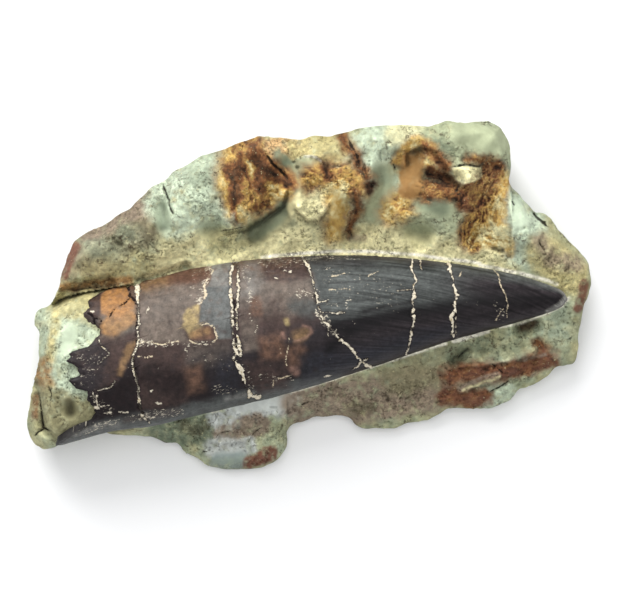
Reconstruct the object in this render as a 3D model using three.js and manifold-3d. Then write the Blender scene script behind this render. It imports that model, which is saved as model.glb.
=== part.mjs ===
// A theropod tooth crown lying half bedded in a block of mudstone. Millimetres, +Z up.
// The specimen lies on the flat sawn back of the block. The crown points along +X, its convex
// edge faces +Y, and the broken root end is at -X. The origin is the middle of the base.
import * as THREE from 'three';
import { mergeVertices } from 'three/addons/utils/BufferGeometryUtils.js';
import Module from 'manifold-3d';

// ---------------------------------------------------------------- driving dimensions

const AXIS_HEIGHT = 13;          // height of the crown's middle above the base
const CROWN_START = -52;         // x where the crown's loft begins, inside the root end
const CROWN_TIP = 51.9;          // x of the point of the crown
const ROOT_FLATNESS = 0.66;      // thickness over width at the root
const TIP_FLATNESS = 0.86;       // thickness over width at the point
const BED_GAP = 0.3;             // clearance between the crown and its bed
const WALL_THICKNESS = 1.8;      // the crown's wall, missing over the filled root
const ROCK_START = -56.8;        // left end of the block
const ROCK_END = 56.8;           // right end of the block
const END_RISE = 4.5;            // how high the underside lifts at the two ends
const END_LENGTH = 3.4;          // how far the lift reaches in from each end
const CROWN_STATIONS = 46;
const CROWN_SIDES = 30;
const ROCK_STATIONS = 78;
const ROCK_TOP_POINTS = 26;
const END_CROWDING = 0.6;        // 0 spaces the block's sections evenly, 1 crowds them at the ends
const CREST_PLACE = 0.58;        // how far out from the crown the crest stands
const ROOT_FILL_END = -34;       // x where the mud that fills the root ends, under the crown
const END_FACE = -50.6;          // x where the root end turns down to the left face
const END_FACE_DROP = 9.5;       // and how far it falls to the block's end
const EDGE_ROUND = 2.6;          // how far in the rims are rounded over
const EDGE_DROP = 1.6;           // and how far they drop there
const CUTTER_REACH = 70;         // a plan distance that clears the whole specimen

// The crown's two edges in plan, from the root to the point.
const CONVEX_EDGE = [
  [-52, -1.6], [-47.7, 0.2], [-39.7, 1.6], [-31.7, 3.2], [-21.7, 5.7], [-9.7, 7.3], [7.3, 8.1],
  [22.3, 7.2], [34.3, 5.6], [42.3, 4], [48, 2.2], [51, 0.8], [51.9, -0.6],
];
const CONCAVE_EDGE = [
  [-52, -30.6], [-47.7, -29.4], [-39.7, -27.2], [-31.7, -26], [-19.7, -23.2], [-3.7, -19.3],
  [12.3, -14.3], [28.3, -8.9], [40.3, -5.6], [47, -3.6], [50.6, -2.1], [51.9, -0.6],
];

// The ragged line where the crown's wall has broken away, from the convex edge to the concave one.
const ROOT_BREAK = [
  [-37.5, 6], [-38.6, 2.6], [-42.7, 0.2], [-44.1, -0.8], [-43.4, -2], [-44.9, -3.2], [-43.1, -4],
  [-41.5, -5.4], [-41.5, -7.6], [-43.9, -10], [-47.6, -11.3], [-46.9, -12], [-48.1, -12.8],
  [-45.8, -14.2], [-45.4, -16], [-47.6, -16.9], [-46.1, -18.5], [-44, -19], [-43.8, -21],
  [-42.7, -22.4], [-42.2, -24.2], [-43.4, -25.7], [-45.6, -26.6], [-48, -28], [-50.2, -29.6],
  [-51.4, -31.5],
];

// The block's outline in plan, behind the crown and in front of it.
const BACK_OUTLINE = [
  [-57, -25], [-55.5, -19.5], [-54, -12.5], [-53.5, -3], [-51.5, -1.5], [-50, 3], [-49.3, 5.5],
  [-47, 11], [-43.5, 13.3], [-39.5, 15], [-36, 17.2], [-31.5, 21.7], [-28.3, 23.4], [-26, 25.4],
  [-21.3, 28.2], [-16.5, 29.4], [-10.3, 31.9], [-1.7, 31.2], [1.3, 32.1], [4.5, 31.8], [12, 33.9],
  [19, 34.2], [24.3, 33.8], [28, 35.1], [31, 34.4], [36.3, 35], [38.5, 33.6], [40, 31.2],
  [40.6, 25], [41, 22], [45.5, 16.7], [47.5, 16.6], [50.3, 13.1], [55.3, 8.3], [56.5, 6.8],
  [57, 2.5],
];
const FRONT_OUTLINE = [
  [-57, -25.5], [-56, -28.5], [-54.5, -30.4], [-50.5, -30.5], [-48, -27.5], [-43, -27], [-40, -28],
  [-31.7, -28.3], [-26.7, -29.6], [-24.5, -31.8], [-20, -34.5], [-16.5, -35.1], [-9.3, -34.8],
  [-6.7, -33.5], [-4.5, -31], [-4, -27.2], [-2.7, -25.7], [1.3, -24.4], [5.7, -24], [8, -24.5],
  [9.9, -26.6], [17, -26.8], [20.3, -25.6], [24.3, -24.9], [28, -22.7], [36.7, -22.6],
  [40.7, -21], [42.1, -19], [45.3, -18], [49.7, -14.5], [53.3, -13.8], [54.4, -8], [55.1, -4.2],
  [57, 2],
];

// Heights along the block: at the crown's convex edge, on the crest behind it, at the back rim,
// at the crown's concave edge and at the front rim.
const BACK_LIP = [[-57, 13], [-48, 16], [-36, 16], [-24, 14.5], [-10, 13.4], [40, 13.2], [57, 11]];
const CREST = [
  [-57, 13], [-48, 17], [-36, 18.6], [-24, 19.4], [0, 19.6], [30, 19.6], [40, 17.6], [48, 15], [57, 11],
];
const BACK_RIM = [
  [-57, 9], [-48, 13], [-36, 15], [-20, 16], [0, 17], [30, 17.5], [40, 14.5], [50, 10.5], [57, 8],
];
const FRONT_LIP = [[-57, 10], [-50, 9], [-44, 7.5], [-34, 9], [-24, 11], [-6, 12], [40, 12.6], [57, 11]];
const FRONT_RIM = [
  [-57, 6], [-50, 6], [-44, 5], [-30, 4.5], [-16, 3.6], [0, 4.2], [20, 4], [40, 5], [50, 6], [57, 7],
];

// Lumps (height above zero) and hollows (below) on the block: each runs along a line of points.
const RELIEF = [
  { path: [[-14.5, 28], [-15, 22], [-13.7, 16.2]], radius: 5.2, height: 2.4 },      // rusty rib, left
  { path: [[-9.3, 29.6], [-4.1, 22]], radius: 4.4, height: 2.6 },                   // rusty rib, right
  { path: [[-5, 24], [-6.4, 17.6], [-11, 13.2], [-17, 10.6]], radius: 4.2, height: -4 }, // scoop below it
  { path: [[1.6, 27], [8.3, 21.4]], radius: 5.4, height: 2.6 },                     // second rusty rib
  { path: [[8.7, 18.2], [7.5, 13.2]], radius: 2.6, height: -1.4 },                  // its dark foot
  { path: [[-1.2, 18.6], [3, 17]], radius: 4, height: 2.6 },                        // crumbly chunk
  { path: [[16.7, 26.2], [14.6, 18.2], [9, 11.6]], radius: 4.2, height: -3.6 },     // scoop right of it
  { path: [[20.3, 27.4], [20.3, 20.4]], radius: 4.8, height: -4.6 },                // smooth tan hollow
  { path: [[22.1, 12.4]], radius: 4, height: -2.6 },                                // small smooth bowl
  { path: [[24.5, 23.6], [29, 23]], radius: 3, height: -3.4 },                      // dark undercut
  { path: [[31.3, 23.9]], radius: 3.6, height: 2.6 },                               // cream chunk
  { path: [[36.4, 24.4], [35.6, 18], [33.6, 12.6]], radius: 4.4, height: -3.4 },    // fibrous recess
  { path: [[29.3, 32.4]], radius: 5.6, height: 2 },                                 // round lobes
  { path: [[35.9, 31.6]], radius: 5.8, height: 1.8 },
  { path: [[42.3, 15]], radius: 6, height: 2.2 },                                   // mint swelling
  { path: [[-29.3, 18], [-29.1, 13.6]], radius: 3, height: -2.4 },                  // smooth dents
  { path: [[-19.3, 13.2]], radius: 3.4, height: -2.2 },
  { path: [[-51, -1.6], [-45.7, 1.6], [-40.1, 2.6]], radius: 2.2, height: -3 },     // groove at the root
  { path: [[-37, 10.4]], radius: 4, height: -1.4 },
  { path: [[-43, 8]], radius: 4.4, height: 1.4 },
  { path: [[-22, 21]], radius: 5.4, height: 1.2 },
  { path: [[-54.2, -18], [-53, -26], [-51.4, -28]], radius: 1.8, height: -2.2 },    // split at the end
  { path: [[-47.5, -22.6]], radius: 2.6, height: -1.2 },
  { path: [[-18.5, -27], [-13.5, -24.5]], radius: 4, height: 1.6 },                 // ledges in front
  { path: [[-24, -29.4]], radius: 4, height: -1.8 },
  { path: [[-8.5, -30]], radius: 4.4, height: 1.4 },
  { path: [[28.6, -16.4], [40, -14.2]], radius: 3.2, height: 1.8 },                 // red-brown plates
  { path: [[44.8, -11], [50, -12.4]], radius: 2.6, height: 1.6 },
  { path: [[29.3, -12.8], [32, -10.4]], radius: 1.8, height: -1.6 },
  { path: [[42.6, -6.6], [45.4, -5.8]], radius: 2.4, height: -3 },                  // dark pit
  { path: [[14, -21], [22, -19]], radius: 3.6, height: -1.4 },
  { path: [[5, -21.5]], radius: 3, height: 1.2 },
];

// ---------------------------------------------------------------- small helpers

const clamp01 = (t) => Math.min(1, Math.max(0, t));
const ease = (t) => clamp01(t) ** 2 * (3 - 2 * clamp01(t));

/** Straight lines through points sorted by x. */
function polyline(points) {
  return (x) => {
    let i = 1;
    while (i < points.length - 1 && points[i][0] < x) i += 1;
    const [x0, y0] = points[i - 1];
    const [x1, y1] = points[i];
    return y0 + (y1 - y0) * clamp01((x - x0) / (x1 - x0));
  };
}

/** A smooth curve through points sorted by x, with no overshoot between them. */
function smoothline(points) {
  const slopes = points.map((p, i) => {
    const before = points[Math.max(i - 1, 0)];
    const after = points[Math.min(i + 1, points.length - 1)];
    return (after[1] - before[1]) / (after[0] - before[0]);
  });
  return (x) => {
    let i = 1;
    while (i < points.length - 1 && points[i][0] < x) i += 1;
    const [x0, y0] = points[i - 1];
    const [x1, y1] = points[i];
    const span = x1 - x0;
    const t = clamp01((x - x0) / span);
    const t2 = t * t;
    const t3 = t2 * t;
    return (2 * t3 - 3 * t2 + 1) * y0 + (t3 - 2 * t2 + t) * span * slopes[i - 1]
      + (3 * t2 - 2 * t3) * y1 + (t3 - t2) * span * slopes[i];
  };
}

/** Distance from (x, y) to a line of points. */
function distanceToPath(x, y, path) {
  if (path.length === 1) return Math.hypot(x - path[0][0], y - path[0][1]);
  let nearest = Infinity;
  for (let i = 1; i < path.length; i += 1) {
    const [ax, ay] = path[i - 1];
    const dx = path[i][0] - ax;
    const dy = path[i][1] - ay;
    const t = clamp01(((x - ax) * dx + (y - ay) * dy) / (dx * dx + dy * dy));
    nearest = Math.min(nearest, Math.hypot(x - ax - t * dx, y - ay - t * dy));
  }
  return nearest;
}

/** Uneven broken-stone surface: a few crossed waves of different lengths. */
function roughness(x, y) {
  return 0.42 * Math.sin(0.83 * x + 1.7 * Math.sin(0.31 * y)) * Math.cos(0.71 * y + 0.9 * Math.sin(0.43 * x))
    + 0.28 * Math.sin(1.9 * x + 0.8 * y) * Math.cos(1.6 * y - 0.9 * x + 1.3)
    + 0.16 * Math.sin(3.1 * x - 1.2 * y + 0.5) * Math.sin(2.7 * y + 0.7 * x);
}

// ---------------------------------------------------------------- the crown

const convexEdge = smoothline(CONVEX_EDGE);
const concaveEdge = smoothline(CONCAVE_EDGE);

/** Middle and half width of the crown's section at x, in plan. */
function crownSection(x) {
  const top = convexEdge(x);
  const bottom = concaveEdge(x);
  return { middle: (top + bottom) / 2, half: Math.max((top - bottom) / 2, 0.02) };
}

/** Half thickness of the crown where its half width is known. */
function crownThickness(x, half) {
  const along = (x - CROWN_START) / (CROWN_TIP - CROWN_START);
  return half * (ROOT_FLATNESS + (TIP_FLATNESS - ROOT_FLATNESS) * along);
}

/** Joins rings of points, each [x, y, z], into one closed mesh with a fan on each end. */
function loft(rings) {
  const sides = rings[0].length;
  const positions = rings.flat(2);
  const index = [];
  for (let r = 0; r + 1 < rings.length; r += 1) {
    for (let s = 0; s < sides; s += 1) {
      const a = r * sides + s;
      const b = r * sides + ((s + 1) % sides);
      index.push(a, b, a + sides, b, b + sides, a + sides);
    }
  }
  const addCap = (ringIndex, facesForward) => {
    const ring = rings[ringIndex];
    const centre = positions.length / 3;
    for (let axis = 0; axis < 3; axis += 1) {
      positions.push(ring.reduce((sum, p) => sum + p[axis], 0) / sides);
    }
    for (let s = 0; s < sides; s += 1) {
      const a = ringIndex * sides + s;
      const b = ringIndex * sides + ((s + 1) % sides);
      if (facesForward) index.push(centre, a, b);
      else index.push(centre, b, a);
    }
  };
  addCap(0, false);
  addCap(rings.length - 1, true);
  const geometry = new THREE.BufferGeometry();
  geometry.setAttribute('position', new THREE.Float32BufferAttribute(positions, 3));
  geometry.setIndex(index);
  return geometry;
}

/** The whole crown before its root is broken, grown by `extra` all round. */
function crownLoft(extra) {
  const rings = [];
  for (let i = 0; i <= CROWN_STATIONS; i += 1) {
    const along = Math.sin((i / CROWN_STATIONS) * Math.PI / 2) ** 1.15;
    const x = CROWN_START + (CROWN_TIP - CROWN_START) * Math.min(along, 0.9995);
    const { middle, half } = crownSection(x);
    const across = half + extra;
    const up = crownThickness(x, half) + extra;
    const ring = [];
    for (let s = 0; s < CROWN_SIDES; s += 1) {
      const angle = (s / CROWN_SIDES) * 2 * Math.PI;
      ring.push([
        x + (i === CROWN_STATIONS ? extra : 0),
        middle + across * Math.cos(angle),
        AXIS_HEIGHT + up * Math.sin(angle),
      ]);
    }
    rings.push(ring);
  }
  return loft(rings);
}

/** The part of space right of the broken root line, moved `extra` to the root side. */
function keepBehindBreak(extra) {
  const line = ROOT_BREAK.map((point, i) => {
    const before = ROOT_BREAK[Math.max(i - 1, 0)];
    const after = ROOT_BREAK[Math.min(i + 1, ROOT_BREAK.length - 1)];
    const along = new THREE.Vector2(after[0] - before[0], after[1] - before[1]).normalize();
    return new THREE.Vector2(point[0] + along.y * extra, point[1] - along.x * extra);
  });
  const shape = new THREE.Shape();
  shape.moveTo(CUTTER_REACH, CUTTER_REACH);
  shape.lineTo(line[0].x, CUTTER_REACH);
  line.forEach((point) => shape.lineTo(point.x, point.y));
  shape.lineTo(line[line.length - 1].x, -CUTTER_REACH);
  shape.lineTo(CUTTER_REACH, -CUTTER_REACH);
  const height = 4 * AXIS_HEIGHT;
  return new THREE.ExtrudeGeometry(shape, { depth: height, bevelEnabled: false })
    .translate(0, 0, AXIS_HEIGHT - height / 2);
}

// ---------------------------------------------------------------- the block

const backOutline = polyline(BACK_OUTLINE);
const frontOutline = polyline(FRONT_OUTLINE);
const backLip = polyline(BACK_LIP);
const crest = polyline(CREST);
const backRim = polyline(BACK_RIM);
const frontLip = polyline(FRONT_LIP);
const frontRim = polyline(FRONT_RIM);

/** Height of the mud that filled the hollow root, just inside the missing wall. */
function rootFill(x, y) {
  const { middle, half } = crownSection(Math.max(x, CROWN_START));
  const across = clamp01(1 - ((y - middle) / half) ** 2);
  const dome = AXIS_HEIGHT - 1 + (crownThickness(x, half) - WALL_THICKNESS + 1) * Math.sqrt(across);
  const endDrop = clamp01((END_FACE - x) / (END_FACE - ROCK_START));
  return dome - END_FACE_DROP * endDrop ** 1.3;
}

/** Height of the block's upper surface at (x, y), between its two outlines. */
function rockTop(x, y) {
  const top = convexEdge(Math.min(Math.max(x, CROWN_START), CROWN_TIP));
  const bottom = concaveEdge(Math.min(Math.max(x, CROWN_START), CROWN_TIP));
  const back = backOutline(x);
  const front = frontOutline(x);
  let height;
  if (y >= top) {
    const out = clamp01((y - top) / Math.max(back - top, 1));
    height = out < CREST_PLACE
      ? backLip(x) + (crest(x) - backLip(x)) * ease(out / CREST_PLACE)
      : crest(x) + (backRim(x) - crest(x)) * ease((out - CREST_PLACE) / (1 - CREST_PLACE));
  } else if (y <= bottom) {
    const out = clamp01((bottom - y) / Math.max(bottom - front, 1));
    height = frontLip(x) + (frontRim(x) - frontLip(x)) * out ** 0.9;
  } else {
    const out = (y - bottom) / (top - bottom);
    height = frontLip(x) + (backLip(x) - frontLip(x)) * out;
  }
  const fillShare = ease((ROOT_FILL_END - x) / 3);
  if (y < top && y > bottom) height += (rootFill(x, y) - height) * fillShare;
  for (const { path, radius, height: rise } of RELIEF) {
    const away = distanceToPath(x, y, path) / radius;
    if (away < 1) height += rise * (1 - away * away) ** 2;
  }
  const inward = Math.min(back - y, y - front);
  height -= EDGE_DROP * (1 - ease(inward / EDGE_ROUND));
  return height + roughness(x, y);
}

/** One cross-section of the block at x: underside, back wall, upper surface, front wall. */
function rockSection(x) {
  const back = Math.max(backOutline(x), frontOutline(x) + 0.8);
  const front = frontOutline(x);
  const width = back - front;
  const nearEnd = clamp01(1 - Math.min(x - ROCK_START, ROCK_END - x) / END_LENGTH);
  const floor = END_RISE * nearEnd ** 2;
  const backInset = Math.min(3.2 + 1.2 * Math.sin(0.37 * x), 0.25 * width);
  const frontInset = Math.min(2 + 0.7 * Math.sin(0.53 * x + 1), 0.2 * width);
  const backTop = Math.max(rockTop(x, back), floor + 1.5);
  const frontTop = Math.max(rockTop(x, front), floor + 1.2);
  const ring = [];
  const undersidePoints = 5;
  for (let i = 0; i < undersidePoints; i += 1) {
    const across = i / (undersidePoints - 1);
    ring.push([x, front + frontInset + (width - frontInset - backInset) * across, floor]);
  }
  const wall = [[0.3, 0.62], [0.62, 0.24], [0.84, 0.04]];
  for (const [up, inset] of wall) {
    const ripple = 0.5 * Math.sin(1.1 * x + 9 * up);
    ring.push([x, back - backInset * inset - Math.max(ripple, 0), floor + (backTop - floor) * up]);
  }
  for (let i = 0; i < ROCK_TOP_POINTS; i += 1) {
    const y = back - width * (i / (ROCK_TOP_POINTS - 1));
    const height = Math.max(rockTop(x, y), floor + 1.2);
    ring.push([x, y, height]);
  }
  ring.push([x, front + 0.25 * frontInset, floor + (frontTop - floor) * 0.45]);
  return ring;
}

/** Sections along the block, closer together towards its two ends. */
function rockLoft() {
  const rings = [];
  const halfLength = (ROCK_END - ROCK_START) / 2;
  for (let i = 0; i <= ROCK_STATIONS; i += 1) {
    const even = (2 * i) / ROCK_STATIONS - 1;
    const crowded = Math.sin(even * Math.PI / 2);
    rings.push(rockSection(halfLength * (END_CROWDING * crowded + (1 - END_CROWDING) * even)));
  }
  return loft(rings);
}

// ---------------------------------------------------------------- cutting and joining

const wasm = await Module();
wasm.setup();

function toSolid(geometry) {
  const bare = geometry.clone();
  bare.deleteAttribute('normal');
  bare.deleteAttribute('uv');
  const merged = mergeVertices(bare, 1e-4);
  return new wasm.Manifold(new wasm.Mesh({
    numProp: 3,
    vertProperties: new Float32Array(merged.attributes.position.array),
    triVerts: new Uint32Array(merged.index.array),
  }));
}

function toGeometry(solid) {
  const mesh = solid.getMesh();
  const geometry = new THREE.BufferGeometry();
  geometry.setAttribute('position', new THREE.Float32BufferAttribute(mesh.vertProperties, 3));
  geometry.setIndex(Array.from(mesh.triVerts));
  geometry.computeVertexNormals();
  return geometry;
}

function crownSolid(extra) {
  return toSolid(crownLoft(extra)).intersect(toSolid(keepBehindBreak(extra)));
}

// ---------------------------------------------------------------- the specimen

const enamel = new THREE.MeshStandardMaterial({ color: '#2e2a2c', roughness: 0.28, metalness: 0 });
const mudstone = new THREE.MeshStandardMaterial({ color: '#a7a583', roughness: 0.9, metalness: 0 });

function makeTooth() {
  const mesh = new THREE.Mesh(toGeometry(crownSolid(0)), enamel);
  mesh.name = 'tooth';
  return mesh;
}

function makeMatrix() {
  const mesh = new THREE.Mesh(toGeometry(toSolid(rockLoft()).subtract(crownSolid(BED_GAP))), mudstone);
  mesh.name = 'matrix';
  return mesh;
}

const specimen = new THREE.Group();
specimen.name = 'fossil_tooth_in_matrix';
specimen.add(makeTooth(), makeMatrix());

export default specimen;
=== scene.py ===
from itertools import product

import bpy
import numpy as np
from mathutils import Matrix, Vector
from mathutils.geometry import delaunay_2d_cdt


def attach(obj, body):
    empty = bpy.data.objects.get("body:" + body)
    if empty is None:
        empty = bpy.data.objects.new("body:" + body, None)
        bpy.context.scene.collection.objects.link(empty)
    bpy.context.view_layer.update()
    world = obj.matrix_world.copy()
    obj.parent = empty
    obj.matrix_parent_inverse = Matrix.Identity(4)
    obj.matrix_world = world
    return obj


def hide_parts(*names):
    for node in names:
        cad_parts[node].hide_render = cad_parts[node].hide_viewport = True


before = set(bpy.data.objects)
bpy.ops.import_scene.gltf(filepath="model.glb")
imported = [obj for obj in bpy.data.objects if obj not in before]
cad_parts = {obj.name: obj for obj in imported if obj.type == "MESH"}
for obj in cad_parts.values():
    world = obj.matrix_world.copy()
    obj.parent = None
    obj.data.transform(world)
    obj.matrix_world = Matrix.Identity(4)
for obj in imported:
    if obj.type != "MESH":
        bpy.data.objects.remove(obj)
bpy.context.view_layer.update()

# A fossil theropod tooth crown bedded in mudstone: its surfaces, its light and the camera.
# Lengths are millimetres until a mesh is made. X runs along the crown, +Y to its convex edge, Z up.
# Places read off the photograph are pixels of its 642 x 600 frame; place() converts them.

MM = 0.001
PIXEL = 0.2               # millimetres that one pixel of the photograph covers
PIXEL_LEFT = 61.7         # how far the photograph's left edge lies from the middle of the base
PIXEL_TOP = 59.2          # and its top edge
FRAME_PIXELS = (642, 600)

# ---------------------------------------------------------------- sizes shared with the solids

AXIS_HEIGHT = 13.0        # height of the crown's middle above the base
CROWN_START = -52.0       # x where the crown's sections begin
CROWN_TIP = 51.9          # x of its point
ROOT_FLATNESS = 0.66      # thickness over width at the root
TIP_FLATNESS = 0.86       # thickness over width at the point
WALL_THICKNESS = 1.8      # the crown's wall, missing over the filled root
ROCK_START = -56.8        # left end of the block
CREST_PLACE = 0.58        # how far out from the crown the crest stands
ROOT_FILL_END = -34.0     # x where the mud that fills the root ends, under the crown
END_FACE = -50.6          # x where the root end turns down to the left face
END_FACE_DROP = 9.5       # and how far it falls to the block's end
EDGE_ROUND = 2.6          # how far in the rims are rounded over
EDGE_DROP = 1.6           # and how far they drop there

CONVEX_EDGE = [
    (-52, -1.6), (-47.7, 0.2), (-39.7, 1.6), (-31.7, 3.2), (-21.7, 5.7), (-9.7, 7.3), (7.3, 8.1),
    (22.3, 7.2), (34.3, 5.6), (42.3, 4), (48, 2.2), (51, 0.8), (51.9, -0.6)]
CONCAVE_EDGE = [
    (-52, -30.6), (-47.7, -29.4), (-39.7, -27.2), (-31.7, -26), (-19.7, -23.2), (-3.7, -19.3),
    (12.3, -14.3), (28.3, -8.9), (40.3, -5.6), (47, -3.6), (50.6, -2.1), (51.9, -0.6)]
ROOT_BREAK = [
    (-37.5, 6), (-38.6, 2.6), (-42.7, 0.2), (-44.1, -0.8), (-43.4, -2), (-44.9, -3.2), (-43.1, -4),
    (-41.5, -5.4), (-41.5, -7.6), (-43.9, -10), (-47.6, -11.3), (-46.9, -12), (-48.1, -12.8),
    (-45.8, -14.2), (-45.4, -16), (-47.6, -16.9), (-46.1, -18.5), (-44, -19), (-43.8, -21),
    (-42.7, -22.4), (-42.2, -24.2), (-43.4, -25.7), (-45.6, -26.6), (-48, -28), (-50.2, -29.6),
    (-51.4, -31.5)]
BACK_LIP = [(-57, 13), (-48, 16), (-36, 16), (-24, 14.5), (-10, 13.4), (40, 13.2), (57, 11)]
CREST = [
    (-57, 13), (-48, 17), (-36, 18.6), (-24, 19.4), (0, 19.6), (30, 19.6), (40, 17.6), (48, 15), (57, 11)]
BACK_RIM = [
    (-57, 9), (-48, 13), (-36, 15), (-20, 16), (0, 17), (30, 17.5), (40, 14.5), (50, 10.5), (57, 8)]
FRONT_LIP = [(-57, 10), (-50, 9), (-44, 7.5), (-34, 9), (-24, 11), (-6, 12), (40, 12.6), (57, 11)]
FRONT_RIM = [
    (-57, 6), (-50, 6), (-44, 5), (-30, 4.5), (-16, 3.6), (0, 4.2), (20, 4), (40, 5), (50, 6), (57, 7)]

# Lumps (height above zero) and hollows (below): radius, height, line in millimetres.
RELIEF = [
    (5.2, 2.4, [(-14.5, 28), (-15, 22), (-13.7, 16.2)]),               # rusty rib, left
    (4.4, 2.6, [(-9.3, 29.6), (-4.1, 22)]),                            # rusty rib, right
    (4.2, -4, [(-5, 24), (-6.4, 17.6), (-11, 13.2), (-17, 10.6)]),     # scoop below it
    (5.4, 2.6, [(1.6, 27), (8.3, 21.4)]),                              # second rusty rib
    (2.6, -1.4, [(8.7, 18.2), (7.5, 13.2)]),                           # its dark foot
    (4, 2.6, [(-1.2, 18.6), (3, 17)]),                                 # crumbly chunk
    (4.2, -3.6, [(16.7, 26.2), (14.6, 18.2), (9, 11.6)]),              # scoop right of it
    (4.8, -4.6, [(20.3, 27.4), (20.3, 20.4)]),                         # smooth tan hollow
    (4, -2.6, [(22.1, 12.4)]),                                         # small smooth bowl
    (3, -3.4, [(24.5, 23.6), (29, 23)]),                               # dark undercut
    (3.6, 2.6, [(31.3, 23.9)]),                                        # cream chunk
    (4.4, -3.4, [(36.4, 24.4), (35.6, 18), (33.6, 12.6)]),             # fibrous recess
    (5.6, 2, [(29.3, 32.4)]),                                          # round lobes
    (5.8, 1.8, [(35.9, 31.6)]),
    (6, 2.2, [(42.3, 15)]),                                            # mint swelling
    (3, -2.4, [(-29.3, 18), (-29.1, 13.6)]),                           # smooth dents
    (3.4, -2.2, [(-19.3, 13.2)]),
    (2.2, -3, [(-51, -1.6), (-45.7, 1.6), (-40.1, 2.6)]),              # groove at the root
    (4, -1.4, [(-37, 10.4)]),
    (4.4, 1.4, [(-43, 8)]),
    (5.4, 1.2, [(-22, 21)]),
    (1.8, -2.2, [(-54.2, -18), (-53, -26), (-51.4, -28)]),             # split at the end
    (2.6, -1.2, [(-47.5, -22.6)]),
    (4, 1.6, [(-18.5, -27), (-13.5, -24.5)]),                          # ledges in front
    (4, -1.8, [(-24, -29.4)]),
    (4.4, 1.4, [(-8.5, -30)]),
    (3.2, 1.8, [(28.6, -16.4), (40, -14.2)]),                          # red-brown plates
    (2.6, 1.6, [(44.8, -11), (50, -12.4)]),
    (1.8, -1.6, [(29.3, -12.8), (32, -10.4)]),
    (2.4, -3, [(42.6, -6.6), (45.4, -5.8)]),                           # dark pit
    (3.6, -1.4, [(14, -21), (22, -19)]),
    (3, 1.2, [(5, -21.5)]),
]

# ---------------------------------------------------------------- the block: lines in pixels

# The block's outline, clockwise from the top. It runs under the crown at the lower left.
ROCK_OUTLINE = [
    (448, 120.5), (463, 124), (472, 122), (490, 121.5), (500, 127.5), (507, 137), (510.5, 148),
    (511.5, 170), (508.5, 181), (511, 186), (519, 193.5), (536, 213), (545, 212.5), (549, 215),
    (553, 219.5), (560, 230.5), (585, 254.5), (591, 262), (593, 283), (592, 288), (587.5, 300),
    (584, 317), (580.5, 335), (580, 355), (578, 361.5), (575, 365), (562, 366.5), (557, 368.5),
    (549, 377.5), (535, 386), (524, 388), (519, 391), (516, 396.5), (512, 401), (500, 407),
    (492, 409), (448, 409.5), (438, 417), (430, 420.5), (410, 424), (395, 430), (362, 430),
    (355, 426), (352, 421), (348, 418.5), (337, 416), (325, 418), (315, 418), (304, 422.5),
    (295, 424.5), (290, 427.5), (286.5, 432), (286, 438), (287.5, 447), (284, 453), (275, 463.5),
    (262, 469.5), (252, 471), (225, 471.5), (208, 468.5), (198, 461), (186, 455), (175, 444),
    (163, 444), (150, 438), (110, 436), (100, 432), (85, 432), (68, 434), (60, 441), (55, 448),
    (46, 450), (33, 446), (28, 438), (24.5, 425), (29.5, 400), (35, 376), (39, 360), (38.5, 345),
    (39, 335), (38, 330), (33.5, 326), (32.5, 320), (33.5, 313), (38, 309), (46, 308), (52, 301),
    (57, 290), (60, 275), (68, 255), (73, 241), (80, 235.5), (91, 229.5), (98, 228.5), (110, 220.5),
    (123, 211.5), (129, 210), (140, 198), (152, 187), (167, 179), (172, 172), (190, 163.5),
    (202, 155), (226, 149), (231, 146), (250, 139.5), (257, 136.5), (280, 137.5), (300, 140),
    (313, 135.5), (330, 137), (345, 132.5), (358, 129), (370, 126.5), (404, 125), (430, 127)]

# Steps: rise, reach of the raised side, softness, line with the raised side on its left.
LEDGES = [
    (1.9, 4.0, 0.35, [(220, 231), (245, 228), (258, 221), (270, 213), (280, 205), (289, 188)]),
    (1.6, 2.6, 0.3, [(294, 203), (300, 213), (308, 221), (318, 221), (326, 212), (330, 200)]),
    (0.8, 2.0, 0.3, [(303, 157), (318, 158), (327, 163)]),
    (1.5, 3.0, 0.4, [(404, 170), (406, 152), (420, 147), (436, 153), (447, 168), (452, 180)]),
    (1.3, 2.0, 0.3, [(450, 181), (462, 186.5), (472, 184), (481, 177)]),
    (0.7, 2.4, 0.25, [(209, 436), (214, 443), (219, 436), (231, 431), (238, 424), (243, 420)]),
    (1.0, 3.0, 0.3, [(445, 373), (456, 368), (478, 366), (504, 363), (534, 356), (540, 343)]),
    (0.8, 2.0, 0.3, [(454, 396), (466, 392), (478, 387), (498, 380), (522, 373)]),
    (0.8, 2.5, 0.4, [(40, 309), (52, 303), (60, 296), (66, 290)]),
    (0.9, 2.5, 0.4, [(362, 158), (372, 186), (370, 198)]),
    (0.5, 3.0, 0.3, [(213, 446), (225, 444), (240, 442), (248, 440)]),
]
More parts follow.
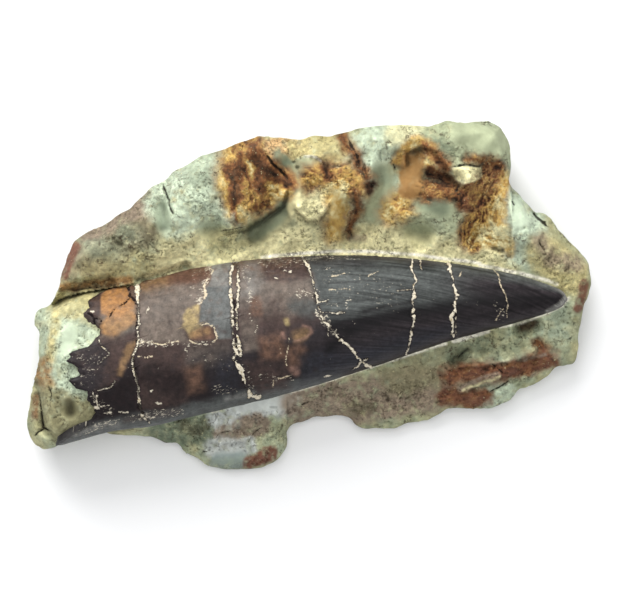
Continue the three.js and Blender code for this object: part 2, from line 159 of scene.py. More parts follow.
# Fissures: half width, depth, line.
FISSURES = [
    (0.14, 1.0, [(162, 182), (166, 192.5), (169, 200), (169.5, 206), (172.5, 212), (176, 219)]),
    (0.26, 1.2, [(265, 152), (272.5, 164), (279, 169.5), (287, 177.5), (289, 183)]),
    (0.2, 1.1, [(38, 392), (40.5, 405), (42.5, 422), (43, 428), (51, 431.5)]),
    (0.14, 0.8, [(33, 437), (38, 432), (44, 429)]),
    (0.12, 0.4, [(50, 386), (53, 394), (51, 402)]),
    (0.32, 1.4, [(532, 210), (539, 218), (549, 227)]),
    (0.2, 0.8, [(511, 201), (515, 206)]),
    (0.2, 0.5, [(539, 239), (541, 246), (545, 252)]),
    (0.14, 0.6, [(380, 151), (381, 157), (382, 162.5)]),
    (0.14, 0.6, [(393, 163), (396, 171.5)]),
    (0.22, 0.9, [(450, 168), (465, 165), (482, 167)]),
    (0.14, 0.6, [(459, 358.5), (464, 352.5), (470, 348)]),
    (0.16, 0.7, [(565, 270.5), (571, 267)]),
    (0.1, 0.5, [(219, 231), (230, 229.5), (245, 227)]),
    (0.12, 0.5, [(60, 289), (75, 290.5), (88, 288), (100, 287.5), (113, 285.5), (127, 282)]),
    (0.16, 0.6, [(492, 363), (499, 369), (506, 375)]),
    (0.16, 0.6, [(489, 393), (499, 389), (508, 383), (514, 379)]),
    (0.3, 0.4, [(347, 137), (352, 147), (357, 157), (360, 168)]),
    (0.12, 0.4, [(262, 428), (254, 433), (250, 440), (247, 444)]),
    (0.14, 0.5, [(215, 439), (219, 434), (231, 431)]),
    (0.12, 0.4, [(200, 453), (206, 452.5), (210, 449)]),
    (0.14, 0.5, [(300, 406), (312, 401)]),
    (0.14, 0.4, [(252, 414.5), (257, 416.5)]),
]
# Pits: radius, depth, place or line.
PITS = [
    (0.6, 0.8, [(216, 198.5)]), (0.5, 0.6, [(294, 162.5)]), (0.6, 0.9, [(297.5, 167.5)]),
    (0.7, 0.9, [(327.5, 167.5), (327.5, 171)]), (0.6, 0.7, [(332.5, 182)]), (0.7, 0.8, [(349.5, 163)]),
    (1.0, 1.5, [(372.5, 185)]), (0.8, 1.0, [(366.5, 187)]), (0.8, 1.3, [(494.5, 248.5), (502, 250.5)]),
    (1.4, 0.5, [(524, 327), (534, 324)]), (1.6, 0.7, [(430, 174), (440, 176), (448, 181)]),
    (0.5, 0.5, [(109, 276)]), (0.7, 0.6, [(113, 239), (121, 245)]), (0.7, 0.8, [(138, 280)]),
    (0.8, 0.7, [(388, 401)]), (0.7, 0.7, [(415, 408)]), (1.6, 0.6, [(361, 410)]),
    (0.4, 0.5, [(523.5, 228)]), (0.3, 0.5, [(468, 240)]), (0.4, 0.4, [(265, 418)]),
    (0.4, 0.4, [(270, 407.5), (276, 408)]), (0.3, 0.4, [(237, 415), (240, 414)]),
    (1.6, 0.9, [(71, 403), (71, 412)]), (2.0, 0.7, [(163.5, 209), (163.5, 227)]),
    (2.4, 0.8, [(207, 231), (213, 231)]), (2.6, 0.9, [(415, 233), (425, 235)]),
    (1.8, 2.0, [(146, 280), (166, 274), (186, 268)]),
]
# Places worn smooth, and crumbly ones: radius, line.
SMOOTH_PLACES = [
    (2.0, [(163.5, 208), (163.5, 228)]), (2.4, [(206, 231), (214, 231)]),
    (3.4, [(292, 180), (290, 200), (276, 217), (258, 232)]), (2.6, [(282, 163), (291, 174)]),
    (3.2, [(382, 172), (383, 190), (375, 210)]), (3.2, [(411, 163), (410, 190)]),
    (2.8, [(414, 233), (426, 235)]), (3.6, [(462, 134), (496, 142)]), (2.4, [(424, 206), (446, 210)]),
    (2.0, [(514, 204), (522, 222)]), (2.2, [(305, 167), (314, 169)]),
    (1.8, [(72, 330), (68, 350)]), (2.2, [(240, 406), (286, 402)]), (1.8, [(216, 460), (240, 458)]),
    (2.0, [(338, 198), (338, 226)]), (2.2, [(70, 404), (72, 412)]),
]
COARSE_PLACES = [
    (4.0, [(237, 160), (238, 222)]), (4.5, [(252, 156), (268, 200)]), (4.5, [(316, 176), (358, 184)]),
    (3.6, [(306, 208), (320, 204)]), (2.4, [(252, 216), (276, 202)]), (3.0, [(428, 182), (452, 188)]),
    (4.4, [(488, 178), (484, 205), (476, 238)]), (3.4, [(276, 147), (298, 148)]),
    (3.6, [(548, 256), (572, 282)]), (2.4, [(60, 290), (106, 287)]),
    (3.4, [(100, 228), (140, 207), (176, 182)]),
    (3.6, [(320, 404), (420, 398)]), (3.0, [(176, 426), (206, 430)]), (2.2, [(250, 434), (280, 440)]),
    (3.4, [(110, 240), (134, 246)]), (3.0, [(190, 196), (214, 212)]),
]

ROCK_TONES = {
    "sage": "a4ab8a", "mint": "bfccb2", "cream": "e2daa8", "straw": "bfb37e", "olive": "8c8765",
    "moss": "717c66", "drab": "8f7f6d", "chalk": "c4c8c2", "steel": "84918d", "gold": "bd9a54",
    "ochre": "967144", "rust": "7a5030", "bark": "503624", "soot": "30221a", "liver": "79503f",
    "apricot": "d8b27e", "tan": "9a7648", "ivory": "f3eedc", "peat": "605b44", "ink": "1b150f",
}
# Stains and beds of another tone: tone, radius, softness, strength, line. Later ones lie on top.
# A line that ends where it began is the outline of a filled patch, here and on the crown.
ROCK_STAINS = [
    # weathered mud, upper left
    ("olive", 8.0, 5.0, 0.8, [(88, 250), (110, 262), (138, 240)]),
    ("drab", 4.6, 4.0, 0.55, [(84, 258), (118, 236), (150, 212)]),
    ("peat", 1.4, 2.6, 0.5, [(128, 224), (144, 226), (150, 240)]),
    ("straw", 2.6, 3.0, 0.5, [(90, 272), (125, 266), (160, 264)]),
    ("moss", 2.4, 3.0, 0.6, [(92, 246), (112, 250), (128, 236)]),
    ("drab", 2.4, 2.0, 0.85, [(88, 229), (123, 213), (150, 197), (178, 178)]),
    ("peat", 1.0, 2.0, 0.7, [(110, 238), (120, 244), (130, 250)]),
    ("liver", 1.2, 0.8, 0.95, [(63, 276), (68, 260), (75, 247)]),
    ("ochre", 0.9, 1.2, 0.9, [(62, 287), (88, 286), (112, 283), (128, 280)]),
    ("bark", 0.3, 0.9, 0.8, [(62, 290), (88, 288), (112, 285.5), (127, 281.5)]),
    # pale middle with its two worn dents
    ("mint", 8.0, 3.0, 0.9, [(186, 200), (212, 190), (212, 215)]),
    ("moss", 2.2, 2.6, 0.5, [(194, 177), (214, 182)]),
    ("moss", 1.0, 2.2, 0.65, [(163.5, 207), (163.5, 226)]),
    ("moss", 1.0, 2.2, 0.6, [(208, 231), (215, 231)]),
    # cream lip over the crown
    ("cream", 3.6, 3.0, 0.95, [(172, 260), (205, 250), (270, 243), (350, 242), (455, 250), (500, 260)]),
    ("drab", 0.7, 0.8, 0.7, [(350, 237), (364, 238)]),
    # round the left rib
    ("cream", 1.7, 0.7, 0.95, [(250, 219), (259, 214), (270, 206), (278, 200)]),
    ("apricot", 2.5, 1.6, 1.0, [(276, 147), (298, 148)]),
    ("bark", 0.8, 0.8, 0.8, [(289, 158), (297, 162)]),
    ("moss", 1.9, 1.2, 0.9, [(280, 161), (291, 174)]),
    ("olive", 2.8, 1.8, 1.0, [(292, 180), (290, 200), (276, 217), (258, 232)]),
    # The moss over the scoop is partly its own grey-green and partly painted shade in the hollow.
    ("moss", 1.9, 1.8, 0.75, [(291, 182), (288, 202), (275, 217), (256, 232)]),
    # round the second rib
    ("straw", 3.2, 1.8, 0.95, [(304, 149), (334, 146)]),
    ("ivory", 0.25, 0.2, 0.9, [(304.5, 157.5), (311, 157), (316, 158.4), (320.6, 161.6)]),
    ("sage", 2.0, 1.2, 0.9, [(303, 167), (312, 169)]),
    ("cream", 3.2, 0.8, 1.0, [(304, 208), (318, 205)]),
    ("mint", 4.6, 3.0, 0.9, [(372, 144), (404, 132)]),
    ("moss", 1.7, 2.4, 0.7, [(380, 173), (383, 192)]),
    ("sage", 2.4, 1.8, 0.9, [(382, 196), (375, 212)]),
    # right end of the top
    ("cream", 2.4, 2.4, 0.8, [(396, 132), (424, 133)]),
    ("sage", 5.6, 3.0, 0.95, [(446, 138), (494, 142)]),
    ("moss", 1.2, 1.8, 0.6, [(437, 142), (446, 150)]),
    ("sage", 4.6, 2.4, 0.85, [(422, 210), (452, 214)]),
    ("moss", 1.6, 1.8, 0.7, [(424, 204), (442, 208)]),
    ("moss", 1.5, 2.8, 0.45, [(409, 230), (426, 236)]),
    ("mint", 5.0, 2.0, 1.0, [(513, 200), (522, 222), (524, 242)]),
    ("straw", 4.0, 3.0, 0.9, [(545, 252), (572, 276)]),
    ("drab", 1.6, 2.0, 0.8, [(540, 240), (552, 260), (578, 264)]),
    ("liver", 1.0, 0.8, 0.95, [(586, 283), (584, 296), (580, 308)]),
    # mud that fills the root
    ("mint", 5.2, 3.0, 0.9, [(72, 326), (68, 350), (70, 376)]),
    ("straw", 2.6, 2.2, 0.8, [(60, 306), (84, 304), (94, 314)]),
    ("straw", 1.0, 1.4, 0.9, [(56, 312), (54, 335), (51, 358)]),
    ("ochre", 1.6, 1.6, 0.9, [(46, 364), (42, 374), (48, 384)]),
    ("olive", 4.4, 2.6, 0.95, [(50, 406), (84, 420)]),
    ("peat", 0.9, 1.8, 0.8, [(71, 402), (72, 412)]),
    ("rust", 0.9, 0.9, 0.7, [(35, 398), (33, 416)]),
    # in front of the crown
    # Painted shadow: the moss and peat on the low shelf beneath the crown's overhanging lower edge.
    ("moss", 3.4, 1.8, 0.95, [(160, 436), (205, 430)]),
    ("peat", 1.2, 1.8, 0.7, [(184, 424), (194, 434), (206, 424)]),
    ("chalk", 3.0, 1.4, 1.0, [(224, 420), (244, 406), (286, 402)]),
    ("drab", 2.4, 1.2, 0.95, [(226, 437), (240, 432), (258, 426)]),
    ("chalk", 2.0, 1.4, 0.95, [(212, 450), (246, 447)]),
    ("steel", 1.9, 1.2, 0.8, [(218, 464), (238, 462)]),
    ("liver", 1.6, 0.9, 1.0, [(250, 465), (262, 458), (271, 456)]),
    ("drab", 5.0, 2.6, 0.95, [(305, 404), (350, 402), (430, 390)]),
    ("peat", 1.4, 1.8, 0.6, [(356, 409), (370, 408)]),
    ("olive", 4.4, 3.0, 0.7, [(400, 372), (450, 362)]),
    ("moss", 1.8, 2.4, 0.7, [(452, 357), (486, 342)]),
    ("mint", 2.2, 0.8, 0.9, [(493, 401), (508, 394)]),
    ("bark", 1.0, 1.4, 0.85, [(523, 327), (535, 324)]),
    # mineral skin along the crown's edges
    ("cream", 0.4, 0.7, 0.95, [
        (146, 277), (154, 273), (160, 270), (168, 271), (178, 266), (193, 263.5), (208, 262), (233, 259),
        (262, 257)]),
    ("ivory", 0.3, 0.5, 1.0, [(262, 257), (300, 253.5), (340, 251), (375, 251.5), (410, 254), (480, 263)]),
    ("ivory", 0.35, 0.5, 0.85, [(480, 265), (510, 271), (540, 278), (557, 284)]),
    ("ivory", 0.3, 0.35, 0.9, [(212, 412.5), (250, 398), (300, 389.5), (358, 371), (446, 343.5)]),
    ("ivory", 0.5, 0.5, 0.9, [(454, 341), (468, 337), (488, 331)]),
    ("ivory", 0.3, 0.3, 0.8, [(500, 327), (525, 322.5), (550, 312.5), (563, 306), (570, 298)]),
]
# Iron-stained fibrous stone: radius, softness, tone from 0 (soot) to 1 (cream), swing of the tone
# between fibres, spacing of the fibres, their depth, line.
RUST = [
    # left rib
    (3.0, 2.0, 0.80, 0.2, 1.6, 0.3, [(233, 154), (228, 180), (236, 204)]),
    (3.8, 1.4, 0.56, 0.4, 1.4, 0.5, [(248, 150), (250, 176), (256, 198)]),
    (2.8, 1.2, 0.46, 0.4, 1.3, 0.4, [(260, 162), (272, 178), (283, 184)]),
    (1.8, 1.2, 0.76, 0.3, 1.2, 0.3, [(268, 190), (284, 193)]),
    (1.0, 1.0, 0.16, 0.2, 1.1, 0.3, [(241, 156), (237, 177), (236, 192), (235.5, 204), (238, 222)]),
    (0.8, 0.8, 0.16, 0.2, 1.0, 0.2, [(226, 169), (236, 177)]),
    (1.1, 1.0, 0.16, 0.2, 1.1, 0.3, [(254, 148), (255, 166), (261, 190)]),
    (1.0, 0.8, 0.14, 0.2, 1.0, 0.3, [(262, 165), (274, 177), (286, 183)]),
    (0.5, 0.6, 0.98, 0.1, 1.0, 0.1, [(251, 165), (251.5, 175)]),
    (1.0, 0.7, 0.86, 0.1, 1.0, 0.1, [(241, 208), (242, 219)]),
    # second rib
    (3.0, 2.0, 0.58, 0.4, 1.4, 0.4, [(312, 178), (334, 174), (354, 180)]),
    (2.2, 1.8, 0.72, 0.3, 1.3, 0.3, [(334, 189), (358, 188)]),
    (1.5, 1.4, 0.32, 0.3, 1.1, 0.3, [(341, 137), (351, 152), (359, 166), (366, 178)]),
    (0.9, 0.8, 0.14, 0.2, 1.0, 0.2, [(324, 165), (328, 178)]),
    (1.2, 0.8, 0.05, 0.1, 1.0, 0.2, [(368, 187.5), (373, 184)]),
    (2.2, 2.0, 0.82, 0.15, 1.6, 0.1, [(336, 197), (341, 212), (332, 232)]),
    (1.3, 1.2, 0.26, 0.3, 1.0, 0.4, [(354, 194), (358, 206), (353, 216), (349, 230)]),
    # gold spur and the hollow's rim
    (2.1, 1.8, 0.78, 0.25, 1.3, 0.3, [(389, 214), (399, 200), (404, 212)]),
    (1.3, 1.0, 0.78, 0.2, 1.1, 0.2, [(400, 160), (405, 147), (418, 142), (430, 148)]),
    (1.6, 1.2, 0.34, 0.3, 1.2, 0.3, [(425, 149), (434, 157), (446, 168)]),
    (0.9, 0.8, 0.86, 0.15, 1.0, 0.2, [(425, 163), (434, 171)]),
    (2.4, 1.2, 0.36, 0.5, 0.9, 0.4, [(424, 189), (450, 192)]),
    (1.5, 0.9, 0.16, 0.25, 1.0, 0.4, [(432, 173), (440, 176), (447, 181)]),
    # fibrous recess and its gold fringe
    (1.2, 1.2, 0.40, 0.4, 1.0, 0.2, [(468, 160), (479, 162)]),
    (3.0, 1.2, 0.30, 0.5, 0.9, 0.5, [(492, 172), (476, 192), (464, 198)]),
    (3.0, 1.2, 0.54, 0.5, 0.9, 0.5, [(488, 188), (482, 212), (472, 238)]),
    (1.5, 1.2, 0.80, 0.2, 1.0, 0.2, [(504, 180), (499, 200), (498, 222), (508, 248)]),
    (2.0, 1.6, 0.90, 0.2, 1.0, 0.2, [(484, 236), (500, 238)]),
    # red-brown plates in front of the crown
    (1.9, 0.7, 0.38, 0.34, 1.4, 0.2, [(452, 376), (496, 371)]),
    (2.1, 0.7, 0.38, 0.34, 1.4, 0.2, [(508, 372), (530, 367), (548, 360)]),
    (1.0, 0.8, 0.28, 0.3, 1.2, 0.2, [(538, 344), (548, 352), (556, 362)]),
    (1.8, 0.7, 0.34, 0.34, 1.4, 0.2, [(449, 397), (468, 400), (484, 397)]),
]
RUST_TONES = [
    (0.0, "soot"), (0.18, "bark"), (0.4, "rust"), (0.58, "ochre"), (0.78, "gold"), (1.0, "cream")]
# Clean patches that lie over the rust: tone, radius, softness, strength, line.
CLEAN_PATCHES = [
    ("tan", 2.5, 0.9, 1.0, [(411, 165), (410, 186)]),
    ("ochre", 1.1, 1.2, 0.8, [(405, 191), (413, 196)]),
    ("cream", 0, 0.4, 1.0, [
        (452, 170), (462, 167), (481, 166.5), (482, 177), (474, 183), (463, 184), (454, 179), (452, 170)]),
    ("liver", 2.2, 2.0, 0.4, [(488, 176), (479, 196), (470, 206)]),
    ("liver", 2.4, 1.4, 0.6, [(450, 377), (500, 371), (550, 359)]),
    ("liver", 2.0, 1.2, 0.6, [(448, 398), (486, 398)]),
    ("drab", 0.6, 0.6, 0.9, [(461, 389), (470, 386), (482, 380), (499, 375)]),
    ("cream", 0.2, 0.6, 0.8, [(464, 391), (471, 387), (478, 386.5), (485, 381.5), (493, 381), (501, 377)]),
    ("drab", 0.3, 0.5, 0.9, [(526, 361), (536, 357), (547, 355)]),
]

# ---------------------------------------------------------------- the crown: lines in pixels

# Healed cracks: half width of the cream mineral, line.
VEINS = [
    (0.26, [(137, 283), (139, 290), (138, 298), (139.5, 306), (140.5, 314), (140, 322), (139, 332),
            (139.5, 343), (137, 350), (133.5, 356), (133.5, 364), (136, 371), (138, 378), (140, 388),
            (140, 398), (141, 407), (142.5, 415), (150, 422)]),
    (0.36, [(137, 287), (138.5, 294), (138, 300)]),
    (0.28, [(234.3, 261), (231, 272), (230.7, 281), (231.4, 298), (233.4, 315), (233.6, 335), (235, 346),
            (240, 355)]),
    (0.26, [(236, 262), (238, 268), (238.6, 281), (237.9, 298), (237.3, 315), (237.3, 332), (240, 346),
            (242, 356)]),
    (0.5, [(234.5, 356), (235.5, 360)]),
    (0.36, [(238, 363), (241, 369), (244, 378), (248, 387), (251, 394)]),
    (0.3, [(250, 396), (260, 396)]),
    (0.24, [(303, 256.5), (305, 263), (310, 271.5), (312.5, 281), (315.5, 291), (317.5, 301),
            (319, 311), (323, 320), (329, 325.5), (333, 331.5), (339, 338.5), (348, 345), (354, 351.5),
            (357, 357), (361, 360.5), (366.5, 364), (371.5, 367.5)]),
    (0.2, [(360, 361.5), (358, 365), (354, 369)]),
    (0.12, [(361, 361), (367, 358.8)]),
    (0.14, [(327.5, 327), (328, 335)]), (0.14, [(319, 302), (326, 301.5)]),
    (0.09, [(320, 312), (333, 313.5)]), (0.13, [(334, 313), (345, 312.5)]),
    (0.2, [(412.3, 259), (411.5, 270), (414.5, 276), (416, 281), (413, 286), (414, 295), (412, 303),
            (413, 313), (414, 321), (411, 332), (409.5, 343), (406.5, 354)]),
    (0.34, [(414, 293), (414, 298)]),
    (0.09, [(419.7, 261), (421.7, 270)]), (0.07, [(397, 291), (412, 289)]),
    (0.36, [(448.3, 264), (451.7, 275), (453, 285), (456.7, 298), (454, 305), (454, 311.7),
           (451, 317), (452.5, 328), (453, 337)]),
    (0.2, [(455, 316.7), (456, 328), (455, 333)]),
    (0.14, [(98, 334), (100, 340), (103, 345), (111, 352.5)]),
    (0.1, [(111, 353), (105, 358), (101.5, 363)]),
    (0.11, [(99, 390), (111.7, 387), (117.5, 381)]),
    (0.13, [(94.7, 391), (95, 402), (95.3, 409)]), (0.13, [(98, 391), (98.3, 402), (98.5, 408)]),
    (0.3, [(94, 408), (99, 408)]),
]
# Open dark gaps beside them: half width, line.
VOIDS = [
    (0.26, [(128, 286), (130, 294), (133.5, 299), (136, 304)]),
    (0.1, [(137.6, 306), (138.6, 314), (138, 322), (137, 332), (138, 342)]),
    (0.14, [(134, 358), (137.5, 372), (139.5, 385), (140.5, 396)]),
    (0.34, [(140.5, 405), (142, 412)]),
    (0.12, [(234.6, 300), (235.4, 318), (235.6, 332), (238, 347)]),
    (0.3, [(243.5, 382.5), (245.5, 387)]),
    (0.12, [(315, 296), (318.5, 307)]), (0.12, [(454.5, 312), (454.5, 326)]),
    (0.14, [(130, 299), (122, 305), (112, 311.5), (110.5, 316)]),
    (0.14, [(88, 311), (95, 317), (102, 321)]),
    (0.5, [(134, 281), (138, 279.5), (142, 278.5)]),
    (0.3, [(91.5, 398), (91.7, 406)]),
]
# Cream chips knocked out of the enamel: radius, place or line.
CHIPS = [
    (0.32, [(151.5, 390), (153, 389)]), (0.26, [(158, 402), (162.5, 403)]),
    (0.2, [(147, 313.5), (149.5, 309)]),
    (0.2, [(180, 408), (184, 409)]), (0.18, [(121, 411), (128.5, 412)]), (0.14, [(326, 269), (331, 268)]),
    (0.14, [(371, 296)]), (0.1, [(345, 300), (352, 300.3)]), (0.08, [(377, 303.3), (382, 303.3)]),
    (0.12, [(361, 312)]), (0.1, [(384.5, 288), (390, 287)]), (0.14, [(352, 321), (355, 324)]),
    (0.16, [(325, 376.5), (334, 375)]), (0.24, [(403.7, 290)]),
    (0.2, [(284, 272), (291.7, 271.7)]), (0.26, [(275, 278), (278, 279)]), (0.2, [(209, 268), (212, 274)]),
    (0.14, [(181, 300)]), (0.18, [(186, 348), (189, 352)]), (0.2, [(145, 341), (148, 340)]),
    (0.18, [(150, 416), (156, 418)]), (0.25, [(103, 413), (112, 412)]), (0.16, [(170, 414.5), (176, 415.5)]),
    (0.22, [(256, 333), (258, 326)]), (0.22, [(92, 310), (95, 312)]),
]
# Places sown with crumbs of mineral: radius, how thickly, line.
FLECKS = [
    (0.9, 0.8, [(150, 273), (172, 270), (206, 266)]), (1.2, 0.9, [(208, 268), (205, 286), (200, 302)]),
    (1.6, 0.8, [(290, 292), (314, 298)]), (1.2, 0.7, [(322, 300), (346, 306)]),
    (1.0, 0.9, [(316, 312), (336, 334)]), (2.2, 0.6, [(262, 262), (300, 264)]),
    (1.0, 0.7, [(305, 259), (360, 257)]), (1.4, 0.7, [(246, 266), (250, 300)]),
    (1.2, 0.9, [(142, 342), (178, 343)]), (1.0, 0.8, [(186, 344), (216, 342)]),
    (1.4, 0.7, [(148, 414), (182, 410)]), (1.4, 0.8, [(94, 396), (112, 412)]),
    (2.6, 0.5, [(76, 352), (98, 356), (86, 382)]), (2.4, 0.5, [(192, 354), (226, 364)]),
    (1.6, 0.6, [(252, 290), (254, 318)]), (1.4, 0.6, [(216, 388), (244, 392)]),
    (0.8, 0.6, [(452, 330), (458, 337)]), (1.2, 0.6, [(498, 306), (502, 318)]),
    (5.0, 0.4, [(325, 280), (390, 292)]), (1.0, 0.9, [(76, 434), (110, 422), (160, 414)]),
    (1.0, 0.8, [(146, 280), (164, 274)]), (2.4, 0.5, [(198, 276), (196, 294)]),
    (1.2, 0.6, [(244, 360), (252, 392)]),
    (1.4, 0.6, [(262, 376), (290, 380)]), (1.2, 0.8, [(326, 318), (330, 330)]),
]
# Thin pale edges of flakes: half width, line.
HAIRLINES = [
    (0.07, [(494, 270.5), (498, 274), (500, 284), (505, 295), (507.5, 303), (506, 310), (507, 317)]),
    (0.12, [(503, 308), (499, 314), (496, 320)]),
    (0.12, [(289.5, 338), (288.5, 346), (287.5, 352), (286, 358), (286.5, 364)]),
    (0.1, [(279, 347), (281.5, 353)]), (0.14, [(291, 374), (285, 376), (279, 378)]),
    (0.07, [(274, 380), (273.5, 386)]),
    (0.12, [(139, 344), (146, 341), (152, 342), (162, 344), (172, 342), (180, 341)]),
    (0.1, [(139, 356), (146, 356.5), (154, 356)]),
    (0.12, [(191, 340), (196, 343), (204, 344.5), (212, 343.5), (218, 338)]),
    (0.18, [(209, 264), (213, 271), (208, 278), (205, 288), (207, 296), (201, 303)]),
    (0.16, [(200, 325), (209, 323.5), (215, 327), (218, 337)]),
    (0.12, [(172, 268.5), (178, 267), (186, 267), (195, 265.5), (203, 264.5)]),
    (0.06, [(329, 290), (350, 289)]), (0.05, [(368, 276), (378, 271.5)]), (0.06, [(330, 277), (345, 274)]),
    (0.08, [(459, 276.5), (461.5, 272.5)]),
]
# Dark bands along the enamel: half width, strength, line.
STREAKS = [
    (1.0, 0.95, [(330, 348), (346, 336), (357, 326), (380, 319), (411, 314)]),
    (0.4, 0.8, [(364, 311.5), (385, 306), (411, 302)]),
    (0.5, 0.7, [(418, 311), (440, 308), (460, 306)]),
    (0.25, 0.5, [(322, 269), (360, 266), (408, 268)]), (0.2, 0.5, [(328, 284), (362, 281), (405, 281)]),
    (0.25, 0.5, [(338, 303), (360, 301), (405, 294)]), (0.3, 0.6, [(462, 290), (500, 288), (540, 291)]),
    (0.4, 0.6, [(460, 319), (500, 312), (540, 304)]),
]

CROWN_TONES = {
    "amber": "9f7347", "honey": "876a49", "umber": "604739", "chestnut": "5a4034", "taupe": "655a51",
    "ash": "787671", "steel": "5e605e", "walnut": "40322e", "charcoal": "2a2527", "jet": "110e10",
    "slate": "494c4a", "ivory": "d9c8a8", "rose": "a98373", "sand": "9c8960", "bone": "ded4be",
    "pitch": "1a1213", "navy": "25252b",
}
# The enamel's own patches, in the same form.
CROWN_STAINS = [
    # amber window at the root, and the dark broken wedge below it
    ("amber", 0, 0.7, 1.0, [
        (101, 296.5), (107, 291), (125, 284.5), (129, 293), (136, 303), (136.5, 318), (134, 325), (125, 331),
        (114, 336), (104, 333), (101, 326), (108, 317), (102, 314), (100.5, 306), (101, 296.5)]),
    ("honey", 0, 2.6, 0.85, [
        (102, 321), (120, 318), (136, 308), (136, 326), (114, 337), (104, 333), (102, 321)]),
    ("slate", 0.6, 2.2, 0.7, [(123, 333), (135, 329)]),
    ("walnut", 0, 0.5, 0.95, [
        (86, 297), (96, 292), (101, 296), (100.5, 308), (103, 315), (96, 317), (84, 312), (86, 297)]),
    ("walnut", 0, 1.6, 0.95, [
        (97, 336), (112, 338), (137, 331), (138, 345), (126, 366), (118, 382), (98, 392), (97, 336)]),
    ("pitch", 0, 1.2, 0.95, [
        (98, 391), (118, 383), (126, 371), (133, 358), (139, 378), (141, 410), (120, 412), (97, 409),
        (98, 391)]),
    ("honey", 0, 1.0, 0.85, [
        (138, 340), (129, 343), (124, 352), (119, 375), (122, 377), (128, 362), (133, 352), (138, 340)]),
    ("charcoal", 2.6, 1.4, 0.85, [(80, 352), (96, 356), (94, 376), (82, 382)]),
    # second segment
    ("taupe", 0, 1.4, 1.0, [
        (141, 292), (165, 284), (206, 283), (206, 298), (186, 308), (184, 330), (190, 342), (141, 342),
        (141, 292)]),
    ("honey", 1.4, 2.6, 0.7, [(146, 284), (164, 278)]),
    ("chestnut", 0, 2.2, 0.9, [(164, 272), (207, 263), (208, 277), (196, 284), (168, 284), (164, 272)]),
    ("ash", 0, 0.6, 0.95, [(210, 263), (232, 260), (232, 288), (208, 289), (212, 276), (210, 263)]),
    ("steel", 0, 0.6, 0.95, [
        (208, 287), (232, 286), (232, 338), (219, 339), (215, 326), (205, 323), (199.5, 322), (200.5, 310),
        (202, 303), (207, 296), (208, 287)]),
    ("sand", 0, 0.7, 0.95, [
        (188, 307), (199, 303.5), (200, 312), (199, 323), (204, 326), (192, 337), (185, 326), (184, 315),
        (188, 307)]),
    ("umber", 0, 0.8, 0.95, [
        (192, 335), (203, 326), (210, 324), (216, 330), (216, 339), (194, 341), (192, 335)]),
    ("honey", 0.7, 1.0, 0.9, [(194, 334), (208, 331)]),
    ("walnut", 0, 2.0, 0.95, [(141, 346), (178, 345), (188, 352), (188, 404), (141, 410), (141, 346)]),
    ("pitch", 3.0, 4.6, 0.85, [(156, 376), (176, 384)]),
    ("taupe", 0, 3.0, 0.5, [(188, 345), (230, 341), (230, 362), (188, 366), (188, 345)]),
    ("umber", 0, 2.6, 0.9, [(187, 368), (202, 364), (204, 388), (190, 393), (187, 368)]),
    ("navy", 0, 3.0, 0.8, [(220, 352), (237, 356), (242, 392), (214, 396), (216, 368), (220, 352)]),
    # worn middle
    ("ash", 0, 3.4, 0.6, [(241, 262), (260, 260), (262, 290), (256, 298), (241, 296), (241, 262)]),
    ("walnut", 0, 1.6, 0.95, [(263, 258), (304, 255), (312, 278), (290, 284), (264, 280), (263, 258)]),
    ("taupe", 0, 2.8, 0.85, [(256, 288), (312, 280), (316, 300), (290, 318), (262, 312), (256, 288)]),
    ("umber", 1.1, 1.2, 0.8, [(256, 302), (257, 312)]),
    ("walnut", 1.6, 3.2, 0.6, [(274, 306), (280, 320)]),
    ("slate", 1.6, 2.2, 0.8, [(298, 306), (314, 308)]),
    ("taupe", 0, 1.4, 0.8, [(241, 322), (257, 320), (259, 350), (243, 352), (241, 322)]),
    ("umber", 0, 2.4, 0.9, [(259, 337), (284, 333), (286, 358), (262, 360), (259, 337)]),
    ("umber", 0, 2.2, 0.9, [(288, 346), (300, 343), (306, 350), (300, 366), (288, 366), (288, 346)]),
    ("honey", 0.9, 1.8, 0.7, [(297, 336), (306, 332)]),
    ("rose", 0.1, 0.9, 0.6, [(303, 325), (310, 327), (312, 332), (305, 338), (295, 341)]),
    ("sand", 0.4, 0.7, 0.9, [(286.5, 320), (287.5, 324)]),
    ("rose", 0.3, 0.8, 0.7, [(283, 334), (285, 337)]),
    ("rose", 0.5, 1.4, 0.7, [(293, 369), (297, 372)]),
    ("walnut", 0, 3.0, 0.8, [(244, 362), (288, 364), (290, 388), (252, 396), (244, 362)]),
    ("navy", 0, 3.0, 0.9, [(298, 356), (334, 346), (340, 374), (302, 384), (298, 356)]),
    # bluish wall along the underside, and the pale rim of the point
    ("slate", 1.2, 1.8, 0.85, [(62, 440), (110, 424), (160, 417), (210, 405), (250, 394)]),
    ("walnut", 0.6, 1.6, 0.6, [(126, 420), (148, 417), (178, 411)]),
    ("ash", 0.5, 1.6, 0.7, [(60, 440), (84, 431), (104, 424), (118, 424)]),
    ("ash", 0.4, 1.0, 0.6, [(226, 399), (252, 393)]),
    ("steel", 0.5, 1.0, 0.7, [(470, 264), (510, 274), (550, 285)]),
    ("ash", 0.5, 0.7, 0.9, [(553, 286), (564, 290), (567, 296), (561, 304), (548, 311)]),
]

# ---------------------------------------------------------------- small helpers

